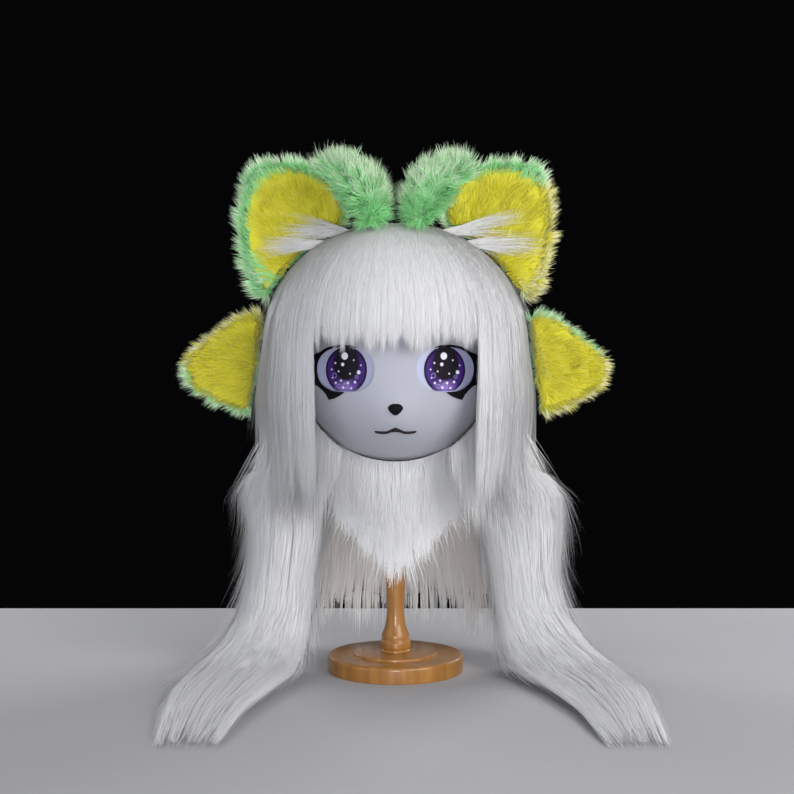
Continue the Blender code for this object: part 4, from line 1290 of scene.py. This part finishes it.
# %% Skin
skin = Finish("face_skin", Roughness=0.72, Sheen_Weight=0.25, Sheen_Roughness=0.5)
skin_weave = skin.noise(skin.place(), 1400.0, 3.0)
skin_cloud = skin.noise(skin.place(), 18.0)
skin.set("Base Color", skin.blend(skin_cloud * 0.5, (0.43, 0.445, 0.515), (0.38, 0.395, 0.465)))
skin.bump(skin_weave, 0.35, 0.0005)
add_piece("face", make_face_shell(), skin.material, ("face_shell",))

# %% [markdown]
# ## Eyes
#
# Each eye is a shallow dish of printed mesh behind its opening, so it seems to
# follow whoever looks at it. A ball would fill the head's hollow and look flat
# from the side. The dish starts as a circle of narrow triangles, which are cut
# into rings and then laid on the surface behind the face.

# %% Discs


def dome_disc(name, outline, centre, half, depth_at, columns, rings, wall):
    """A thin disc with an outline's shape on a surface that depth_at(x, z, share) gives."""
    bm = bmesh.new()
    bmesh.ops.create_circle(bm, cap_ends=False, segments=columns, radius=1.0)
    edges = bm.edges[:]
    middle = bm.verts.new((0.0, 0.0, 0.0))
    for edge in edges:
        bm.faces.new((*edge.verts, middle))
    spokes = [edge for edge in bm.edges if middle in edge.verts]
    bmesh.ops.subdivide_edges(bm, edges=spokes, cuts=rings - 1)
    for vert in bm.verts:
        share = min(vert.co.xy.length, 1.0)
        across, up = closed_curve(outline, math.atan2(vert.co.y, vert.co.x) / math.tau)
        x = centre[0] + across * half[0] * share
        z = centre[1] + up * half[1] * share
        vert.co = (x, depth_at(x, z, share), z)
    face_forward(bm)
    bmesh.ops.solidify(bm, geom=bm.faces[:], thickness=wall)
    return mesh_of(name, bm, 50.0)


# %% Dishes
DISH_HALF = (0.037, 0.0295)
DISH_GAP = 0.0014
DISH_HOLLOW = 0.007


def eye_dish(x, z, share):
    """Y of the dish, by share of the way from its middle to its rim."""
    return face_depth(x, z, -(FACE_WALL + DISH_GAP + DISH_HOLLOW * (1.0 - share**2)))


eye_white = Finish("eye_white", Roughness=0.5)
eye_grid = eye_white.noise(eye_white.place(), 900.0)
eye_white.set("Base Color", eye_white.blend(eye_grid, (0.45, 0.47, 0.68), (0.53, 0.55, 0.77)))
eye_white.bump(eye_grid, 0.3, 0.0004)
for side, sign in SIDES:
    name = "eye_dish_" + side
    outline = [(across * sign, up) for across, up in EYE_OUTLINE]
    dish = dome_disc(name, outline, (sign * EYE_X, EYE_Z), DISH_HALF, eye_dish, 64, 12, 0.0015)
    add_piece(name, dish, eye_white.material, ("eye_" + side,))

# %% [markdown]
# ## Irises
#
# The iris is a dark print: an oval pupil, a violet ring that is lighter at the
# bottom, and round highlights, dots and rings in an arrangement made up for
# this model. A picture file could hold it, but drawn with nodes it stays sharp
# at any size. Every mark is a step in the distance from a place on the iris.

# %% The print's layout
IRIS_X = 0.0550
IRIS_HALF = Vector((0.02325, 0.02575))
ROUND = [(math.cos(step * math.tau / 24), math.sin(step * math.tau / 24)) for step in range(24)]
IRIS_OUTLINE = [(across, max(up, -0.90)) for across, up in ROUND]
SPARKLES = [
    # across, up and radius in iris radii: two large highlights, then small dots
    (-0.06, 0.60, 0.155), (-0.16, 0.24, 0.075), (0.62, -0.10, 0.085), (0.38, 0.42, 0.035),
    (-0.52, 0.30, 0.040), (0.20, -0.16, 0.035), (-0.36, -0.06, 0.035), (0.72, 0.20, 0.030),
    (-0.70, 0.02, 0.035), (-0.24, -0.46, 0.045), (0.10, -0.56, 0.050), (0.44, -0.52, 0.055),
    (-0.50, -0.56, 0.050), (0.26, -0.78, 0.045), (-0.14, -0.76, 0.055), (-0.66, -0.34, 0.030),
]
BUBBLES = [
    # thin rings: across, up and radius
    (-0.56, -0.24, 0.115), (0.52, -0.30, 0.085), (0.00, -0.68, 0.13), (-0.32, -0.70, 0.10),
]
BUBBLE_LINE = 0.035
INSIDE = (1.0, 1.0, 1.0)
OUTSIDE = (0.0, 0.0, 0.0)

# %% The print


def iris_finish(side, sign):
    """The print, drawn by distance from places on the iris."""
    iris = Finish("iris_print_" + side, Roughness=0.4)
    iris.set("Specular IOR Level", 0.12)
    coords = iris.node("ShaderNodeTexCoord", output=3)

    def apart(x, z, stretch=1.0):
        """Distance from a place, in iris radii."""
        centre = (sign * IRIS_X + x * IRIS_HALF.x, 0.0, EYE_Z + z * IRIS_HALF.y)
        moved = iris.node("ShaderNodeVectorMath", {"operation": "SUBTRACT"}, {0: coords, 1: centre})
        scale = (1.0 / IRIS_HALF.x, 0.0, stretch / IRIS_HALF.y)
        sized = iris.node("ShaderNodeVectorMath", {"operation": "MULTIPLY"}, {0: moved, 1: scale})
        return iris.node("ShaderNodeVectorMath", {"operation": "LENGTH"}, {0: sized}, output=1)

    def disc(x, z, radius, soft=0.02):
        """1 inside a circle and 0 outside."""
        return iris.ramp(apart(x, z), (max(radius - soft, 0.0), INSIDE), (radius + soft, OUTSIDE))

    clouds = iris.noise(iris.place(), 160.0, 3.0)
    colour = iris.ramp(
        apart(0.0, 0.0), (0.0, (0.020, 0.010, 0.060)), (0.60, (0.036, 0.013, 0.12)),
        (0.86, (0.072, 0.026, 0.22)), (0.97, (0.010, 0.008, 0.028)),
    )
    shaded = iris.ramp(apart(0.0, 0.95, 0.9), (0.30, INSIDE), (1.10, OUTSIDE))
    colour = iris.blend(shaded, colour, (0.010, 0.005, 0.022))
    glow = iris.ramp(apart(0.0, -0.80, 1.15), (0.0, (0.36, 0.26, 0.64)), (0.66, OUTSIDE))
    colour = iris.blend(clouds * 1.2, colour, glow, "ADD")
    pupil = iris.ramp(apart(0.02, 0.26, 0.88), (0.58, INSIDE), (0.66, OUTSIDE))
    colour = iris.blend(pupil, colour, (0.012, 0.010, 0.016))
    for x, z, radius in BUBBLES:
        ring = disc(x, z, radius) * (1.0 - disc(x, z, radius - BUBBLE_LINE))
        colour = iris.blend(ring * 0.45, colour, (0.60, 0.50, 0.90))
    for x, z, radius in SPARKLES:
        colour = iris.blend(disc(x, z, radius), colour, (0.84, 0.84, 0.95))
    iris.set("Base Color", colour)
    return iris.material


# %% Iris discs
IRIS_PROUD = 0.0012


def iris_depth(x, z, share):
    """Y of the iris, a little in front of the dish."""
    part = math.hypot((abs(x) - EYE_X) / DISH_HALF[0], (z - EYE_Z) / DISH_HALF[1])
    return eye_dish(x, z, part) - IRIS_PROUD


for side, sign in SIDES:
    name = "iris_disc_" + side
    centre = (sign * IRIS_X, EYE_Z)
    disc = dome_disc(name, IRIS_OUTLINE, centre, IRIS_HALF, iris_depth, 64, 10, 0.0008)
    add_piece(name, disc, iris_finish(side, sign), ("iris_" + side,))

# %% [markdown]
# ## Lashes, brows, nose and mouth
#
# The lash is one band of black foam sheet that follows the outer half of the
# opening, with three points. Painted on, it would have no edge to catch the
# light, so it is a narrow grid laid on the face and given a thickness. The nose
# and the brow marks are small discs, and the mouth is a thin band.

# %% Bands on the face
LASH_BAND = [
    # share of the way round the opening, width
    (0.310, 0.02), (0.280, 0.20), (0.230, 0.26), (0.170, 0.24), (0.110, 0.30), (0.075, 0.76),
    (0.040, 0.28), (0.000, 0.24), (-0.045, 0.28), (-0.080, 0.68), (-0.100, 0.42), (-0.130, 0.42),
    (-0.160, 0.62), (-0.185, 1.10), (-0.215, 0.60), (-0.245, 0.02),
]
LASH_WIDTH = 0.010
BAND_THICKNESS = 0.0014
MARK_GAP = 0.0003


def band(name, inner, outer, thickness):
    """A strip on the face between two edges of (x, z) places."""
    bm = bmesh.new()
    bmesh.ops.create_grid(bm, x_segments=3, y_segments=len(inner) - 1, size=0.5)
    for vert in bm.verts:
        row = round((vert.co.y + 0.5) * (len(inner) - 1))
        across = vert.co.x + 0.5
        x, z = Vector(inner[row]).lerp(Vector(outer[row]), across)
        vert.co = (x, face_depth(x, z, MARK_GAP + thickness), z)
    face_forward(bm)
    bmesh.ops.solidify(bm, geom=bm.faces[:], thickness=thickness)
    return mesh_of(name, bm, 40.0)


# %% Lashes


def lash_edges(sign, steps=6):
    """The lash's edge along the opening and its outer edge, from the widths in LASH_BAND."""
    inner, outer = [], []
    rows = [
        Vector(a).lerp(Vector(b), step / steps)
        for a, b in zip(LASH_BAND, LASH_BAND[1:]) for step in range(steps)
    ] + [Vector(LASH_BAND[-1])]
    for place, width in rows:
        across, up = closed_curve(EYE_OUTLINE, place)
        edge = Vector((across * EYE_HALF.x, up * EYE_HALF.y))
        wide = edge + edge.normalized() * LASH_WIDTH * width
        inner.append((sign * (EYE_X + edge.x), EYE_Z + edge.y))
        outer.append((sign * (EYE_X + wide.x), EYE_Z + wide.y))
    return inner, outer


black_trim = Finish("black_trim", Roughness=0.6)
black_trim.set("Specular IOR Level", 0.1)
trim_grain = black_trim.noise(black_trim.place(), 700.0)
trim_colour = black_trim.blend(trim_grain, (0.003, 0.003, 0.004), (0.008, 0.007, 0.009))
black_trim.set("Base Color", trim_colour)
black_trim.bump(trim_grain, 0.3, 0.0004)
for side, sign in SIDES:
    lash = band("lash_band_" + side, *lash_edges(sign), BAND_THICKNESS)
    add_piece("lash_band_" + side, lash, black_trim.material, ("lash_" + side,))

# %% Brow marks
BROW_PLACE = (0.030, 0.389)
BROW_HALF = (0.0048, 0.0048)


def brow_depth(x, z, share):
    """Y of a brow mark, thinner towards its rim."""
    return face_depth(x, z, 0.0011 - 0.0004 * share**4)


brow_print = Finish("brow_print", Roughness=0.7)
brow_grain = brow_print.noise(brow_print.place(), 600.0)
brow_print.set("Base Color", brow_print.blend(brow_grain, (0.22, 0.23, 0.27), (0.34, 0.35, 0.40)))
brow_print.bump(brow_grain, 0.3, 0.0004)
for side, sign in SIDES:
    name = "brow_mark_" + side
    centre = (sign * BROW_PLACE[0], BROW_PLACE[1])
    mark = dome_disc(name, ROUND, centre, BROW_HALF, brow_depth, 32, 4, 0.0007)
    add_piece(name, mark, brow_print.material, ("brow_" + side,))

# %% Nose
NOSE_Z = 0.3113
NOSE_HALF = (0.00825, 0.0065)
NOSE_DEPTH = 0.0045
NOSE_OUTLINE = [
    (0.00, 0.98), (0.55, 0.90), (0.97, 0.45), (0.90, -0.10), (0.50, -0.68), (0.00, -1.00),
    (-0.50, -0.68), (-0.90, -0.10), (-0.97, 0.45), (-0.55, 0.90),
]


def nose_depth(x, z, share):
    """Y of the nose, domed and steep at its rim."""
    dome = math.sqrt(max(0.02, 1.0 - share**2.2))
    return face_depth(x, z, MARK_GAP + NOSE_DEPTH * dome)


nose = dome_disc("nose_tip", NOSE_OUTLINE, (0.0, NOSE_Z), NOSE_HALF, nose_depth, 48, 10, 0.0012)
add_piece("nose_tip", nose, black_trim.material, ("nose",))

# %% Mouth
MOUTH_Z = 0.2880
MOUTH_HALF = 0.0233
MOUTH_LINE = 0.0020
MOUTH_PATH = np.array([
    # across, drop below the middle's height, width of the line
    (0.00, 0.00, 2.10), (0.20, 0.09, 1.30), (0.42, 0.20, 1.00), (0.65, 0.21, 1.00),
    (0.90, 0.19, 0.80), (1.00, 0.18, 0.20),
])
across = np.linspace(-1.0, 1.0, 49)
drops = np.interp(np.abs(across), MOUTH_PATH[:, 0], MOUTH_PATH[:, 1])
widths = np.interp(np.abs(across), MOUTH_PATH[:, 0], MOUTH_PATH[:, 2])
heights = MOUTH_Z + (0.10 - drops) * MOUTH_HALF
mouth_top = [(x * MOUTH_HALF, z) for x, z in zip(across, heights)]
mouth_low = [(x, z - MOUTH_LINE * width) for (x, z), width in zip(mouth_top, widths)]
mouth_print = Finish("mouth_print", Roughness=0.6)
mouth_grain = mouth_print.noise(mouth_print.place(), 500.0)
mouth_colour = mouth_print.blend(mouth_grain, (0.006, 0.003, 0.004), (0.016, 0.007, 0.008))
mouth_print.set("Base Color", mouth_colour)
mouth = band("mouth", mouth_top, mouth_low, BAND_THICKNESS)
add_piece("mouth", mouth, mouth_print.material, ("mouth_line",))

# %% [markdown]
# ## Foam base
#
# The foam base shows only from below, where the wearer's neck goes in. A finer
# copy wouldn't be seen, so its CAD solid stays and gets a finish of fine open
# cells, which a Voronoi pattern draws.

# %% Foam
foam = Finish("foam", Roughness=0.95)
foam_cells = foam.node("ShaderNodeTexVoronoi", None, {"Vector": foam.place(), "Scale": 900.0})
foam.set("Base Color", foam.blend(foam_cells, (0.72, 0.70, 0.66), (0.50, 0.48, 0.44)))
foam.bump(foam_cells, 0.4, 0.001)
head_base = nodes["head_base"]
head_base.data.materials.clear()
head_base.data.materials.append(foam.material)
print("head_base keeps its", len(head_base.data.polygons), "CAD faces")

# %% [markdown]
# ## Stand
#
# The stand is turned wood: a disc foot with a small step, and a post with a
# collar, a bulb, a narrow waist and a long plain shaft. A lathe makes it, so
# here a profile is spun round the same axis, with enough steps for a smooth
# edge. The varnish is a clear coat over a straight grain.

# %% Turned pieces


def turned(name, profile, finish, node):
    """A profile of (radius, height) points, top to bottom, spun about the vertical axis."""
    bm = bmesh.new()
    points = [bm.verts.new((radius, 0.0, height)) for radius, height in profile]
    for above, below in zip(points, points[1:]):
        bm.edges.new((above, below))
    bmesh.ops.spin(
        bm, geom=bm.verts[:] + bm.edges[:], cent=(0.0, 0.0, 0.0), axis=(0.0, 0.0, 1.0),
        angle=math.tau, steps=96, use_merge=True,
    )
    bmesh.ops.remove_doubles(bm, verts=bm.verts[:], dist=1e-6)
    return add_piece(name, mesh_of(name, bm, 30.0), finish, (node,))


def rounded(corners, steps=5):
    """A profile from corners (radius, height, rounding), sharp where the rounding is 0."""
    profile = []
    for number, (*point, rounding) in enumerate(corners):
        point = Vector(point)
        if not rounding:
            profile.append(tuple(point))
            continue
        before = Vector(corners[number - 1][:2]) - point
        after = Vector(corners[number + 1][:2]) - point
        size = min(rounding, before.length * 0.5, after.length * 0.5)
        start = point + before.normalized() * size
        end = point + after.normalized() * size
        for step in range(steps + 1):
            t = step / steps
            profile.append(tuple((1 - t) ** 2 * start + 2 * t * (1 - t) * point + t**2 * end))
    return profile


# %% Varnished wood
wood = Finish("varnished_wood", Roughness=0.38, Coat_Weight=0.4, Coat_Roughness=0.15)
grain_place = wood.place((1.0, 1.0, 0.10))
grain_wide = wood.noise(grain_place, 90.0, 4.0)
grain_fine = wood.noise(wood.place((1.0, 1.0, 0.03)), 900.0, 3.0)
wood_colour = wood.ramp(
    grain_wide, (0.25, (0.27, 0.108, 0.016)), (0.50, (0.36, 0.155, 0.026)),
    (0.78, (0.48, 0.225, 0.048)),
)
wood.set("Base Color", wood.blend(grain_fine * 0.35, wood_colour, (0.20, 0.085, 0.020)))
wood.bump(grain_fine, 0.15, 0.0004)

# %% Foot and post
FOOT_RADIUS = 0.080
FOOT_TOP = 0.019
STEP_RADIUS = 0.050
STEP_TOP = 0.022
FOOT_PROFILE = [
    # radius, height, rounding
    (0.0, STEP_TOP, 0), (STEP_RADIUS, STEP_TOP, 0.0015), (STEP_RADIUS, FOOT_TOP, 0.0004),
    (FOOT_RADIUS, FOOT_TOP, 0.004), (FOOT_RADIUS, 0.0, 0.0010), (0.0, 0.0, 0),
]
POST_PROFILE = [
    # the rest inside the head and the plain shaft
    (0.0, 0.4970, 0), (0.0180, 0.4936, 0.010), (0.0320, 0.4886, 0.010), (0.0400, 0.4790, 0.004),
    (0.0368, 0.4770, 0.001), (0.0135, 0.4720, 0.002), (0.0135, 0.1500, 0.030),
    # the waist and the bulb
    (0.0119, 0.1100, 0.020), (0.0099, 0.0700, 0.012), (0.0122, 0.0508, 0.008),
    (0.0165, 0.0412, 0.003), (0.0163, 0.0363, 0.0008),
    # the collar
    (0.0180, 0.0335, 0.0015), (0.0180, 0.0272, 0.001), (0.0168, 0.0250, 0.0006),
    (0.0180, 0.0236, 0.0005), (0.0180, 0.0223, 0), (0.0, 0.0223, 0),
]
turned("stand_foot", rounded(FOOT_PROFILE), wood.material, "stand_base")
turned("stand_shaft", rounded(POST_PROFILE), wood.material, "stand_post")

# %% [markdown]
# ## Floor finish
#
# The floor is plain and pale. One flat grey would look like a painted backdrop,
# so a wide, faint noise makes it a little uneven.

# %% Floor finish
floor_finish = Finish("floor", Roughness=0.85)
floor_cloud = floor_finish.noise(floor_finish.place(), 3.0)
floor_colour = floor_finish.blend(floor_cloud, (0.41, 0.41, 0.44), (0.46, 0.46, 0.49))
floor_finish.set("Base Color", floor_colour)
floor.data.materials.append(floor_finish.material)
print("floor finish with", len(floor_finish.tree.nodes), "nodes")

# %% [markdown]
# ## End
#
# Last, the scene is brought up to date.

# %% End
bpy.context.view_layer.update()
